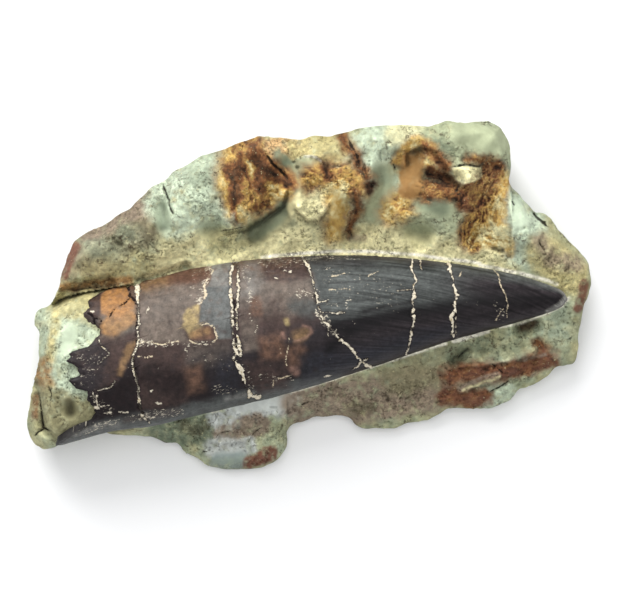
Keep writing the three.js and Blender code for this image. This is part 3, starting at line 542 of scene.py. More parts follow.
FAR_AWAY = 1e9            # further than any line lies
PLACE_EDGE = 1.6          # how steeply a worn, crumbly or flecked place ends
TAPER_SHARE = 0.3         # of a tapered line's length, at each end
TAPER_START = 0.15        # how far along its taper a line starts
STAIN_EDGES = ((4.0, 1.0, 0), (1.2, 0.45, 2), (0.5, 0.2, 5))     # raggedness: size, amount, step of seed
IRON_EDGES = ((4.0, 0.8, 0), (1.2, 0.5, 1), (0.5, 0.2, 2))
IRON_SEED = 15
SIDEWAYS_SEED = 7         # from a shift's first direction to its second
CLEAN_EDGE = 0.8          # how much less ragged a stain is where the surface is clean
FILLED_SHIFT = 0.3        # how much of the raggedness the edge of a filled patch takes
STROKE_SHIFT = 0.4        # and a stroke's, for each millimetre of its radius, up to all of it
GAP_LIMIT = 3.0           # distances to drawn lines are cut off here
MEAN_WIDTH = 0.66         # of a ragged line, as a share of its full width
NARROWEST = -0.1          # below zero the line is broken off
FIBRE_LENGTH = 3          # of iron-stained fibres, over their spacing
FIBRE_APART = 7.3         # keeps the fibres of two strokes from matching


def place(points):
    """Photograph pixels as millimetres in plan."""
    pixels = np.asarray(points, float)
    return np.stack([PIXEL * pixels[:, 0] - PIXEL_LEFT, PIXEL_TOP - PIXEL * pixels[:, 1]], 1)


def clamp01(t):
    return np.clip(t, 0, 1)


def ease(t):
    t = clamp01(t)
    return t * t * (3 - 2 * t)


def polyline(points):
    xs, ys = np.asarray(points, float).T
    return lambda x: np.interp(x, xs, ys)


def smoothline(points):
    """A smooth curve through points sorted by x, as the solids have it."""
    xs, ys = np.asarray(points, float).T
    last = len(xs) - 1
    before = np.maximum(np.arange(last + 1) - 1, 0)
    after = np.minimum(np.arange(last + 1) + 1, last)
    slopes = (ys[after] - ys[before]) / (xs[after] - xs[before])

    def curve(x):
        i = np.clip(np.searchsorted(xs, x), 1, last)
        span = xs[i] - xs[i - 1]
        t = clamp01((x - xs[i - 1]) / span)
        t2, t3 = t * t, t * t * t
        return ((2 * t3 - 3 * t2 + 1) * ys[i - 1] + (t3 - 2 * t2 + t) * span * slopes[i - 1]
                + (3 * t2 - 2 * t3) * ys[i] + (t3 - t2) * span * slopes[i])
    return curve


def nearest(points, path):
    """Distance from each point to a line of points, its side (+1 left) and the run along the line."""
    distance = np.full(len(points), FAR_AWAY)
    side = np.ones(len(points))
    run = np.zeros(len(points))
    if len(path) == 1:
        return np.hypot(*(points - path[0]).T), side, run
    start = 0.0
    for a, b in zip(path[:-1], path[1:]):
        step = b - a
        length = np.hypot(*step)
        from_a = points - a
        t = clamp01(from_a @ step / length ** 2)
        off = from_a - t[:, None] * step
        away = np.hypot(off[:, 0], off[:, 1])
        closer = away < distance
        distance = np.where(closer, away, distance)
        side = np.where(closer, np.sign(step[0] * from_a[:, 1] - step[1] * from_a[:, 0]), side)
        run = np.where(closer, start + t * length, run)
        start += length
    return distance, side, run


def linear(code):
    """A six-digit sRGB colour as linear light."""
    channels = np.array([int(code[i:i + 2], 16) for i in (0, 2, 4)]) / 255
    return np.where(channels <= 0.04045, channels / 12.92, ((channels + 0.055) / 1.055) ** 2.4)


GRADIENTS = np.array([g for g in product((-1, 0, 1), repeat=3) if sum(map(abs, g)) == 2] * 2)[:16]
OCTAVE_TURN = np.array([[0.80, 0.60, 0.0], [-0.48, 0.64, 0.60], [0.36, -0.48, 0.80]])
NOISE_TURN = OCTAVE_TURN @ OCTAVE_TURN      # keeps a flat plan from lying in the noise's own planes
NOISE_OFFSET = np.array([3.7, 8.1, 5.3])
OCTAVE_SCALE = 2.03       # how much finer each octave is
OCTAVE_SEED = 31          # how far the seeds of two octaves lie apart
HASH_STEPS = np.array([374761393, 668265263, 1442695041])
HASH_SEED = 97531
HASH_MIX = 1274126177
HASH_BITS = 0xFFFFFFFF


def noise(points, seed):
    """Gradient noise of cell size 1, about -1 to 1."""
    cell = np.floor(points).astype(np.int64)
    inside = points - cell
    weight = inside ** 3 * (inside * (inside * 6 - 15) + 10)
    total = np.zeros(len(points))
    for corner in product((0, 1), repeat=3):
        at = cell + corner
        key = (at @ HASH_STEPS + seed * HASH_SEED) & HASH_BITS
        key = ((key ^ (key >> 13)) * HASH_MIX) & HASH_BITS
        slope = GRADIENTS[(key ^ (key >> 16)) & 15]
        share = np.prod(np.where(corner, weight, 1 - weight), axis=1)
        total += share * ((inside - corner) * slope).sum(1)
    return total


def fractal(points, size, octaves, seed, gain=0.5):
    """Noise whose largest features are `size` across, with finer ones on them."""
    total = np.zeros(len(points))
    at = (points / size + NOISE_OFFSET) @ NOISE_TURN
    amount = 1.0
    for octave in range(octaves):
        total += amount * noise(at, seed + OCTAVE_SEED * octave)
        at = OCTAVE_SCALE * at @ OCTAVE_TURN
        amount *= gain
    return total


def gradient(value, stops, palette):
    """Tones of a palette blended along a few named stops."""
    at = [stop for stop, _ in stops]
    tones = np.array([linear(palette[tone]) for _, tone in stops])
    return np.stack([np.interp(value, at, tones[:, channel]) for channel in range(3)], 1)


def flat(points, height=0.0):
    """Plan points with a third coordinate."""
    return np.column_stack([points, np.broadcast_to(height, len(points))])


def wander(points, size, amount, seed):
    """A sideways shift that makes drawn lines ragged."""
    lifted = flat(points)
    shifts = [fractal(lifted, size, 3, seed), fractal(lifted, size, 3, seed + SIDEWAYS_SEED)]
    return amount * np.stack(shifts, 1)


def ragged(points, edges, seed):
    """Several such shifts of different size together."""
    return sum(wander(points, size, amount, seed + step) for size, amount, step in edges)


def blend(colours, tone, share):
    """Lays one colour over the others, in place, by each point's share."""
    colours += (tone - colours) * share[:, None]


def paint(colours, palette, stains, points, seed, clean):
    """Lays each stain over the colours, with an edge that is ragged except where the surface is clean."""
    lifted = flat(points)
    rough = 1 - CLEAN_EDGE * clean
    shift = ragged(points, STAIN_EDGES, seed) * rough[:, None]
    broken = 1.0 + 0.9 * rough * fractal(lifted, 1.4, 4, seed + 4)
    mottled = 1 + (0.3 * rough * fractal(lifted, 1.0, 4, seed + 6))[:, None]
    for tone, radius, softness, strength, path in stains:
        line = place(path)
        filled = len(path) > 1 and path[0] == path[-1]
        moved = points + shift * (FILLED_SHIFT if filled else min(1.0, STROKE_SHIFT * radius))
        reach = nearest(moved, line)[0]
        if filled:
            reach = np.where(contains(line[:-1], moved), -reach, reach)
        share = strength * ease((radius + softness / 2 - reach) / softness) * clamp01(broken)
        blend(colours, linear(palette[tone]) * mottled, share)


def inside_places(points, places):
    """How far inside the nearest of some round-ended places each point is, 0 to 1."""
    share = np.zeros(len(points))
    for radius, path in places:
        share = np.maximum(share, ease(PLACE_EDGE * (1 - nearest(points, place(path))[0] / radius)))
    return share


def line_length(path):
    return np.hypot(*np.diff(path, axis=0).T).sum()


def taper(run, path):
    """1 along a line, falling to nearly 0 at both its ends."""
    length = line_length(path)
    return ease(np.minimum(run, length - run) / (TAPER_SHARE * length) + TAPER_START)


def gap_to(points, lines, shift, tapered=False):
    """Distance to the edge of the nearest of some ragged lines, below zero inside it."""
    gap = np.full(len(points), GAP_LIMIT)
    lifted = flat(points)
    uneven = MEAN_WIDTH + 0.9 * fractal(lifted, 2.4, 2, 71) + 1.1 * fractal(lifted, 0.6, 3, 72)
    uneven = np.maximum(uneven, NARROWEST)
    for half_width, *_, path in lines:
        line = place(path)
        away, _, run = nearest(points + shift, line)
        width = half_width * uneven
        if tapered and len(line) > 1:
            width = width * taper(run, line)
        gap = np.minimum(gap, away - width)
    return gap


def iron(points):
    """The iron-stained stone at each point: height of its fibres, how much of it there is, its tone."""
    height, cover, level = np.zeros((3, len(points)))
    shift = ragged(points, IRON_EDGES, IRON_SEED)
    bend = wander(points, 2.4, 0.8, 18)
    for number, (radius, softness, tone, swing, spacing, depth, path) in enumerate(RUST):
        line = place(path)
        away = nearest(points + shift, line)[0]
        share = ease((radius + softness - away) / (2 * softness))
        direction = (line[-1] - line[0]) / np.hypot(*(line[-1] - line[0]))
        along = (points + bend) @ direction
        sideways = (points + bend) @ (direction[::-1] * [-1, 1])
        spread = np.column_stack([along / (FIBRE_LENGTH * spacing), sideways / spacing])
        waves = 0.5 - 1.7 * np.abs(fractal(flat(spread, FIBRE_APART * number), 1.0, 4, 25, 0.6))
        height += (depth * waves - height) * share
        level += (tone + swing * waves + 0.2 * (1 - share) - level) * share
        cover = np.maximum(cover, share)
    return height * cover, cover, level


# ---------------------------------------------------------------- the solids' own surfaces

LEAST_HALF_WIDTH = 0.02   # at the crown's point
FILL_START = 1            # how far under the crown's middle the root's mud begins to rise
END_FACE_CURVE = 1.3      # how the root's end and the slope in front of the crown bend
FRONT_CURVE = 0.9
FILL_BLEND = 3            # over what length the mud passes into the bed

convex_edge = smoothline(CONVEX_EDGE)
concave_edge = smoothline(CONCAVE_EDGE)


def crown_section(x):
    """Middle and half width in plan, and half thickness, of the crown at x."""
    at = np.clip(x, CROWN_START, CROWN_TIP)
    top, bottom = convex_edge(at), concave_edge(at)
    half = np.maximum((top - bottom) / 2, LEAST_HALF_WIDTH)
    along = (at - CROWN_START) / (CROWN_TIP - CROWN_START)
    return (top + bottom) / 2, half, half * (ROOT_FLATNESS + (TIP_FLATNESS - ROOT_FLATNESS) * along)


def root_fill(x, y):
    """Height of the mud that filled the hollow root."""
    middle, half, thickness = crown_section(x)
    across = clamp01(1 - ((y - middle) / half) ** 2)
    dome = AXIS_HEIGHT - FILL_START + (thickness - WALL_THICKNESS + FILL_START) * np.sqrt(across)
    return dome - END_FACE_DROP * clamp01((END_FACE - x) / (END_FACE - ROCK_START)) ** END_FACE_CURVE


def long_waves(x, y):
    """The long swells of the solid's roughness; grain() stands for its short ones."""
    return 0.42 * np.sin(0.83 * x + 1.7 * np.sin(0.31 * y)) * np.cos(0.71 * y + 0.9 * np.sin(0.43 * x))


def rock_top(points, back, front, rim_distance):
    """Height of the block's upper surface, as the solid has it but for its short waves."""
    x, y = points.T
    at = np.clip(x, CROWN_START, CROWN_TIP)
    top, bottom = convex_edge(at), concave_edge(at)
    out_back = clamp01((y - top) / np.maximum(back(x) - top, 1))
    out_front = clamp01((bottom - y) / np.maximum(bottom - front(x), 1))
    lip, crest, rim = polyline(BACK_LIP)(x), polyline(CREST)(x), polyline(BACK_RIM)(x)
    front_lip, front_rim = polyline(FRONT_LIP)(x), polyline(FRONT_RIM)(x)
    rising = lip + (crest - lip) * ease(out_back / CREST_PLACE)
    falling = crest + (rim - crest) * ease((out_back - CREST_PLACE) / (1 - CREST_PLACE))
    behind = np.where(out_back < CREST_PLACE, rising, falling)
    before = front_lip + (front_rim - front_lip) * out_front ** FRONT_CURVE
    beneath = front_lip + (lip - front_lip) * (y - bottom) / (top - bottom)
    beneath = beneath + (root_fill(x, y) - beneath) * ease((ROOT_FILL_END - x) / FILL_BLEND)
    height = np.where(y >= top, behind, np.where(y <= bottom, before, beneath))
    for radius, rise, path in RELIEF:
        away = nearest(points, np.asarray(path, float))[0] / radius
        height = height + rise * np.maximum(1 - away * away, 0) ** 2
    return height - EDGE_DROP * (1 - ease(rim_distance / EDGE_ROUND)) + long_waves(x, y)


# ---------------------------------------------------------------- the block's mesh

OUTLINE_STEP = 0.42       # spacing of the block's fine outline
SURFACE_STEP = 0.25       # spacing of its upper surface where it shows
HIDDEN_STEP = 1.5         # and under the crown
WALL_RINGS = 26
WALL_INSET = 3.0          # how far the foot of the walls lies in from the rim
POCKET_CLEARANCE = 0.1    # between the crown and its bed
HIDDEN_MARGIN = 1.6       # how far in under the crown its bed stops being seen
SPARSE_GAP = 0.8          # from there to the first of the sparse points
CLOSE_TO_RIM = 0.2        # no inner point lies nearer to the rim than this
HEX_ROW = 0.866           # distance of two rows, and how far points stray, over the spacing
HEX_JITTER = 0.16
NICK_SIZE = 2.4           # of the small nicks in the outline
NICK_DEPTH = 0.16
ENVELOPE_STEPS = 400
CRUMBLED_EDGE = 0.38      # how far the crown's broken end strays, and the size of its crumbs
CRUMB_SIZE = 0.8
LEDGE_END = 1.5           # over what length a ledge rises at its ends
LEDGE_FOOT = 0.6          # width of the furrow at its foot, and its depth over the ledge's rise
LEDGE_FURROW = 0.35
LEAST_FISSURE = 0.24      # half width that the mesh can still show
LEAST_HEIGHT = 1.2        # of the upper surface
BED_MARGIN = 0.6          # how far in under the crown the bed begins
BED_COVER = 0.5           # stone this close under the crown's top may rise through the root
BED_FLOOR = 1.0           # least height of the bed
INWARD_BLUR = 40          # passes that smooth the outline to find which way is in
INWARD_STEP = 3           # points looked at on each side for that
NEAR_PASSES = 10          # how far around a point hollows() looks, for small and for large hollows
FAR_PASSES = 120
JOIN_TOLERANCE = 1e-7


def even_outline():
    """The outline with even steps and small nicks, counter-clockwise."""
    corners = place(ROCK_OUTLINE)[::-1]
    loop = np.vstack([corners, corners[:1]])
    run = np.concatenate([[0], np.cumsum(np.hypot(*np.diff(loop, axis=0).T))])
    steps = np.arange(0, run[-1] - OUTLINE_STEP / 2, OUTLINE_STEP)
    even = np.stack([np.interp(steps, run, loop[:, 0]), np.interp(steps, run, loop[:, 1])], 1)
    for _ in range(2):
        even = (np.roll(even, 1, 0) + 2 * even + np.roll(even, -1, 0)) / 4
    return even + wander(even, NICK_SIZE, NICK_DEPTH, 5)


def loop_blur(loop, passes):
    for _ in range(passes):
        loop = (np.roll(loop, 1, 0) + loop + np.roll(loop, -1, 0)) / 3
    return loop


def edge_envelope(outline, keep):
    """Furthest y of the outline at each x: keep is np.maximum for the back, np.minimum for the front."""
    xs = np.linspace(outline[:, 0].min(), outline[:, 0].max(), ENVELOPE_STEPS)
    found = np.full(len(xs), np.nan)
    for a, b in zip(outline, np.roll(outline, -1, 0)):
        low, high = sorted((a[0], b[0]))
        hit = (xs >= low) & (xs <= high)
        if high - low < 1e-6 or not hit.any():
            continue
        y = a[1] + (b[1] - a[1]) * (xs[hit] - a[0]) / (b[0] - a[0])
        found[hit] = np.where(np.isnan(found[hit]), y, keep(found[hit], y))
    good = ~np.isnan(found)
    return lambda x: np.interp(x, xs[good], found[good])


def contains(outline, points):
    """Which points lie inside the outline."""
    inside = np.zeros(len(points), bool)
    for a, b in zip(outline, np.roll(outline, -1, 0)):
        crosses = (a[1] > points[:, 1]) != (b[1] > points[:, 1])
        if crosses.any():
            at = a[0] + (b[0] - a[0]) * (points[:, 1] - a[1]) / ((b[1] - a[1]) or 1e-12)
            inside ^= crosses & (points[:, 0] < at)
    return inside


def hex_grid(step, low, high, seed):
    """Points in staggered rows over a rectangle, each a little off its place."""
    xs = np.arange(low[0], high[0], step)
    ys = np.arange(low[1], high[1], step * HEX_ROW)
    gx, gy = np.meshgrid(xs, ys)
    gx = gx + (np.arange(len(ys)) % 2)[:, None] * step / 2
    jitter = np.random.default_rng(seed).uniform(-HEX_JITTER, HEX_JITTER, (gx.size, 2)) * step
    return np.stack([gx.ravel(), gy.ravel()], 1) + jitter


break_line = polyline([(y, x) for x, y in reversed(ROOT_BREAK)])


def root_break_x(y):
    """x of the crown's broken end at each y, with a crumbled edge."""
    spot = np.stack([y, 0 * y, 0 * y], -1).reshape(-1, 3)
    return break_line(y) + CRUMBLED_EDGE * fractal(spot, CRUMB_SIZE, 3, 55).reshape(np.shape(y))


def under_crown(points):
    """How deep under the crown each point lies in plan, below zero outside it."""
    x, y = points.T
    middle, half, _ = crown_section(x)
    sideways = half - np.abs(y - middle)
    return np.minimum(np.minimum(sideways, x - root_break_x(y)), CROWN_TIP - x)


def fine_relief(points):
    """Ledges, fissures and pits too small for the solid."""
    height = np.zeros(len(points))
    shift = wander(points, 2.2, 0.35, 11)
    for rise, reach, soft, path in LEDGES:
        line = place(path)
        away, side, run = nearest(points + shift, line)
        ends = ease(run / LEDGE_END) * ease((line_length(line) - run) / LEDGE_END)
        signed = away * side
        height += rise * ends * ease((signed + soft) / (2 * soft)) * clamp01(1 - signed / reach)
        height -= LEDGE_FURROW * rise * ends * np.exp(-((signed + LEDGE_FOOT) / LEDGE_FOOT) ** 2)
    for half_width, depth, path in FISSURES:
        line = place(path)
        away, _, run = nearest(points + 0.4 * shift, line)
        height -= depth * taper(run, line) * np.exp(-(away / max(half_width, LEAST_FISSURE)) ** 2)
    for radius, depth, path in PITS:
        away = nearest(points + 0.5 * shift, place(path))[0]
        height -= depth * (1 - ease(away / radius))
    return height


def grain(points, smooth, coarse):
    """Broken-stone roughness: quiet where the block is worn, strong where it is crumbly."""
    lumps = 0.6 * fractal(points, 5.0, 3, 21)
    patchy = ease(0.45 + 1.4 * fractal(points, 7.0, 2, 28))
    crevices = 0.5 * patchy * ease(1 - np.abs(fractal(points, 3.0, 5, 27, 0.65)) / 0.08)
    flakes = (0.2 + 0.24 * coarse) * (0.2 - np.abs(fractal(points, 1.7, 4, 22)))
    crumbs = np.abs(fractal(points, 1.0, 3, 24)) - 0.25
    speckle = 0.1 * fractal(points, 0.7, 2, 23)
    rough = flakes + speckle + 0.6 * coarse * crumbs - crevices
    return lumps * (1 - 0.7 * smooth) + (1 - 0.95 * smooth) * rough


def hollows(points, faces, height, passes):
    """How far each point lies below its surroundings; more passes look further away."""
    edges = np.array(faces)
    pairs = np.vstack([edges[:, (0, 1)], edges[:, (1, 2)], edges[:, (2, 0)]])
    count = np.bincount(pairs.ravel(), minlength=len(points)).clip(1)
    mean = height.copy()
    for _ in range(passes):
        total = np.bincount(pairs[:, 0], mean[pairs[:, 1]], len(points))
        total += np.bincount(pairs[:, 1], mean[pairs[:, 0]], len(points))
        mean = 0.5 * mean + 0.5 * total / count
    return mean - height


def plan_points(outline, closed):
    """The rim, and points inside it that are sparse where the crown hides them."""
    low, high = outline.min(0), outline.max(0)
    fine = hex_grid(SURFACE_STEP, low, high, 3)
    sparse = hex_grid(HIDDEN_STEP, low, high, 4)
    shown = fine[under_crown(fine) < HIDDEN_MARGIN]
    inner = np.vstack([shown, sparse[under_crown(sparse) > HIDDEN_MARGIN + SPARSE_GAP]])
    inner = inner[contains(outline, inner)]
    inner = inner[nearest(inner, closed)[0] > CLOSE_TO_RIM]
    return np.vstack([outline, inner])


def triangulate(plan, ring):
    """Points and triangles that fill a ring."""
    verts, _, faces, *_ = delaunay_2d_cdt([Vector(p) for p in plan.tolist()], ring, [], 1, JOIN_TOLERANCE)
    return np.array([tuple(v) for v in verts]), faces


def bedded(plan, height):
    """The block's height with the crown's bed cut in."""
    middle, half, thickness = crown_section(plan[:, 0])
    bulge = thickness * np.sqrt(clamp01(1 - ((plan[:, 1] - middle) / half) ** 2))
    covered = (under_crown(plan) > BED_MARGIN) & (height < AXIS_HEIGHT + bulge - BED_COVER)
    pocket = np.minimum(height, AXIS_HEIGHT - bulge - POCKET_CLEARANCE)
    return np.where(covered, np.maximum(pocket, BED_FLOOR), height)


def rock_walls(outline, rim_height):
    """The walls as rings of points from the rim down, and how far each point is cut in."""
    inward = loop_blur(outline, INWARD_BLUR)
    tangent = np.roll(inward, -INWARD_STEP, 0) - np.roll(inward, INWARD_STEP, 0)
    normal = np.stack([-tangent[:, 1], tangent[:, 0]], 1) / np.hypot(*tangent.T)[:, None]
    inset = WALL_INSET + 0.8 * fractal(flat(outline), 9.0, 2, 41)
    rings, cut_in = [], []
    for k in range(1, WALL_RINGS + 1):
        down = k / WALL_RINGS
        blurred = loop_blur(outline, int(1 + 10 * down))
        spot = blurred + normal * (inset * down ** 1.4)[:, None]
        ring_points = flat(spot, rim_height * (1 - down))
        beds = ring_points * [0.35, 0.35, 1.0]
        ledge = 0.9 * fractal(beds, 2.0, 3, 42) + 0.8 * fractal(ring_points, 4.5, 3, 44)
        ledge += 0.7 * np.abs(fractal(ring_points, 1.3, 3, 43))
        ledge += 0.5 * np.abs(fractal(ring_points * [1, 1, 0.6], 2.6, 3, 45))
        shove = np.maximum(1.1 * ledge * np.sin(np.pi * min(down, 0.97)) ** 0.5, -0.3)
        ring_points[:, :2] += normal * shove[:, None]
        cut_in.append(shove)
        rings.append(ring_points)
    return rings, cut_in


def rock_surface():
    """The block's points, faces, how far down the wall each point is, and what its surface is like."""
    outline = even_outline()
    back, front = edge_envelope(outline, np.maximum), edge_envelope(outline, np.minimum)
    closed = np.vstack([outline, outline[:1]])
    count = len(outline)
    ring = [(i, (i + 1) % count) for i in range(count)]
    plan, top_faces = triangulate(plan_points(outline, closed), ring)
    rim_distance = nearest(plan, closed)[0]

    height = rock_top(plan, back, front, rim_distance) + fine_relief(plan)
    smooth, coarse = inside_places(plan, SMOOTH_PLACES), inside_places(plan, COARSE_PLACES)
    fibres, stained, tone = iron(plan)
    height = height + fibres + grain(flat(plan, height), smooth, coarse * (1 - 0.6 * stained))
    height = bedded(plan, np.maximum(height, LEAST_HEIGHT))
    top = flat(plan, height)

    rings, cut_in = rock_walls(outline, height[:count])
    points = np.vstack([top] + rings)
    starts = [0] + [len(top) + i * count for i in range(WALL_RINGS)]
    faces = [tuple(f) for f in top_faces]
    for upper, lower in zip(starts[:-1], starts[1:]):
        for i in range(count):
            j = (i + 1) % count
            faces += [(upper + i, lower + i, lower + j), (upper + i, lower + j, upper + j)]
    found = triangulate(rings[-1][:, :2], ring)[1]
    faces += [tuple(starts[-1] + i for i in reversed(f)) for f in found if max(f) < count]

    # near and far measure the hollows and ridges that rock_colours paints with shade and highlight
    inland = ease(rim_distance / EDGE_ROUND)      # the rounded rim isn't a hollow
    fields = {
        "x": plan[:, 0], "y": plan[:, 1], "smooth": smooth, "coarse": coarse, "stained": stained,
        "tone": tone, "near": inland * hollows(plan, top_faces, height, NEAR_PASSES),
        "far": inland * hollows(plan, top_faces, height, FAR_PASSES),
    }
    for name, values in fields.items():
        fields[name] = np.append(values, np.tile(values[:count], WALL_RINGS))
    fields["cut_in"] = np.concatenate([np.zeros(len(plan))] + cut_in)
    wall_depth = np.repeat(np.arange(1, WALL_RINGS + 1) / WALL_RINGS, count)
    return points, faces, np.concatenate([np.zeros(len(plan)), wall_depth]), fields


# ---------------------------------------------------------------- the crown's mesh

CROWN_STATIONS = 430
CROWN_SEEN_SIDES = 176    # points round the upper half
CROWN_HIDDEN_SIDES = 26   # and round the lower half
TIP_CROWDING = 0.3        # 0 spaces the stations evenly, 1 crowds them at the point
WALL_DEPTH = 2.2          # how far down the broken wall shows
BREAK_GUESS = -44.0       # x from which the broken end is searched, and in how many rounds
BREAK_ROUNDS = 24
LAST_STATION = 0.9995     # the last ring, as a share of the way to the point
TIP_REACH = 0.03          # how far the very point stands out from it
LIP_INSET = 0.35          # how far behind the broken edge the foot of its wall lies
LIP_STRAY = 0.3           # and how far it strays
LINE_WANDER = (1.3, 0.3, 61)      # raggedness of the drawn lines: size, amount, seed
STREAK_FADE = 1.8         # reach of a dark band, over its half width
CHIP_MARGIN = 0.05        # chips are drawn this much smaller
SMOOTH_ENAMEL = 0.06      # ribbing left on the smooth part of the crown
RIBS_START = 1            # x where the ribbed part begins, and over what length
RIBS_BLEND = 4
RIDGE_STRETCH = (0.08, 1.1)       # of the ribs' relief, along and across the skin
FIRST_CRACK = [(140, 280), (140, 420)]      # in pixels; the crown stands higher to its right
CRACK_STEP = 0.12
BREAK_REACH = 1.4         # over what length the crown is worn at its broken end


def crown_grid():
    """How many sides the crown has, its points ring by ring, their normals and places on the skin."""
    seen = np.linspace(0, np.pi, CROWN_SEEN_SIDES, endpoint=False)
    hidden = np.linspace(np.pi, 2 * np.pi, CROWN_HIDDEN_SIDES, endpoint=False)
    angle = np.concatenate([seen, hidden])
    start = np.full(len(angle), BREAK_GUESS)
    for _ in range(BREAK_ROUNDS):
        middle, half, _ = crown_section(start)
        start = 0.5 * start + 0.5 * root_break_x(middle + half * np.cos(angle))
    share = np.linspace(0, LAST_STATION, CROWN_STATIONS)
    along = (1 - TIP_CROWDING) * share + TIP_CROWDING * np.sin(share * np.pi / 2)
    x = start[None, :] + (CROWN_TIP - start[None, :]) * along[:, None]
    middle, half, thickness = crown_section(x)
    y = middle + half * np.cos(angle)
    z = AXIS_HEIGHT + thickness * np.sin(angle)
    points = np.stack([x, y, z], 2).reshape(-1, 3)
    normal = np.stack([0 * x, np.cos(angle) / half, np.sin(angle) / thickness], 2).reshape(-1, 3)
    normal /= np.linalg.norm(normal, axis=1)[:, None]
    skin = np.stack([x, np.broadcast_to(angle, x.shape) * (half + thickness) / 2], 2).reshape(-1, 2)
    return len(angle), points, normal, skin


def crown_surface():
    """The crown's points, its faces, each point's place on the skin, and its fields."""
    sides, points, normal, skin = crown_grid()
    fields = crown_fields(points)
    points = points + normal * crown_relief(points, skin, fields)[:, None]

    first = points[:sides]
    middle, _, thickness = crown_section(first[:, 0])
    centre = np.column_stack([first[:, 0], middle, np.full(sides, AXIS_HEIGHT)])
    shrink = (1 - WALL_DEPTH / thickness)[:, None]
    lip = centre + (first - centre) * shrink
    lip[:, 0] = first[:, 0] + LIP_INSET + LIP_STRAY * fractal(first, 1.2, 2, 51)
    centre_point = lip.mean(0)[None, :]
    tip_point = points[-sides:].mean(0)[None, :] + [[TIP_REACH, 0, 0]]
    grid = np.arange(CROWN_STATIONS * sides).reshape(CROWN_STATIONS, sides)
    lip_start = grid.size
    centre_at, tip_at = lip_start + sides, lip_start + sides + 1
    turned = np.roll(grid, -1, 1)
    quads = np.stack([grid[:-1], grid[1:], turned[1:], turned[:-1]], 2).reshape(-1, 4)
    faces = [tuple(q) for q in quads.tolist()]
    for i in range(sides):
        j = (i + 1) % sides
        faces.append((lip_start + i, i, j, lip_start + j))
        faces.append((centre_at, lip_start + i, lip_start + j))
        faces.append((int(grid[-1, i]), tip_at, int(grid[-1, j])))
    all_points = np.vstack([points, lip, centre_point, tip_point])
    all_skin = np.vstack([skin, skin[:sides], skin[:1], skin[-1:]])
    for name, values in fields.items():
        fields[name] = np.concatenate([values, values[:sides], values[:1], values[-1:]])
    return all_points, faces, all_skin, fields


def crown_fields(points):
    """Distances to the drawn lines on the crown, and how banded, flecked and ribbed it is."""
    plan = points[:, :2]
    shift = wander(plan, *LINE_WANDER)
    streak = np.zeros(len(plan))
    for half_width, strength, path in STREAKS:
        away = nearest(plan + 0.5 * shift, place(path))[0]
        streak = np.maximum(streak, strength * (1 - ease(away / (STREAK_FADE * half_width))))
    fleck = np.zeros(len(plan))
    for radius, thickness, path in FLECKS:
        away = nearest(plan + shift, place(path))[0]
        fleck = np.maximum(fleck, thickness * ease(PLACE_EDGE * (1 - away / radius)))
    ribs = ease((plan[:, 0] - RIBS_START) / RIBS_BLEND)
    return {
        "vein": gap_to(plan, VEINS, 0.8 * shift), "gap": gap_to(plan, VOIDS, shift),
        "chip": gap_to(plan, CHIPS, shift) + CHIP_MARGIN, "hair": gap_to(plan, HAIRLINES, 0.7 * shift),
        "streak": streak, "fleck": fleck, "ribbed": SMOOTH_ENAMEL + (1 - SMOOTH_ENAMEL) * ribs,
    }


def within(distance, reach, softness):
    """1 well inside the reach of a line, fading to 0 at the reach."""
    return ease((reach - distance) / softness)


def crown_relief(points, skin, fields):
    """How far the surface stands out from the plain crown."""
    worn = ease((-1.0 - points[:, 0]) / 3) * ease((points[:, 0] + 15) / 2)
    ridges = fractal(flat(skin * RIDGE_STRETCH), 1.0, 2, 62)
    crust = 0.5 + fractal(points, 0.6, 2, 63)
    height = 0.035 * ridges + 0.05 * fractal(points, 5.0, 2, 64)
    height += worn * 0.09 * fractal(points, 1.6, 3, 65)
    mineral = within(fields["vein"], 0.12, 0.16)
    height += 0.16 * crust * mineral
    height -= 0.1 * within(fields["vein"], 0.34, 0.16) * (1 - mineral)
    height -= 0.4 * within(fields["gap"], 0.1, 0.2)
    height -= 0.1 * within(fields["chip"], 0.1, 0.16)
    height -= 0.05 * within(fields["hair"], 0.1, 0.12)
    height -= 0.07 * fields["streak"]
    height += CRACK_STEP * ease((nearest(points[:, :2], place(FIRST_CRACK))[1] + 1) / 2)
    at_break = ease((points[:, 0] - root_break_x(points[:, 1])) / BREAK_REACH)
    height -= (1 - at_break) * (0.2 + 0.35 * np.abs(fractal(points, 1.1, 3, 66)))
    return height


# ---------------------------------------------------------------- colours

# Mottling of the mud's top and of its walls: tone, size of the mottles, how strong, seed.
MUD_LAYERS = [
    ("mint", 10.0, 0.6, 81), ("straw", 7.0, 0.55, 82), ("olive", 4.0, 0.45, 83), ("cream", 2.0, 0.3, 86),
    ("moss", 1.6, 0.25, 85)]
WALL_LAYERS = [
    ("olive", 7.0, 0.7, 87), ("drab", 4.0, 0.6, 88), ("mint", 3.0, 0.7, 89), ("rust", 3.4, 0.35, 90)]
WALL_COVER = 0.85         # how much of the top's paint the walls hide
STREAK_COVER = 0.85       # how dark the crown's bands are
CRUMBLY_COVER = 0.6       # how dark its broken edge is
DARKEST_ROCK = 0.004
DARKEST_CROWN = 0.003


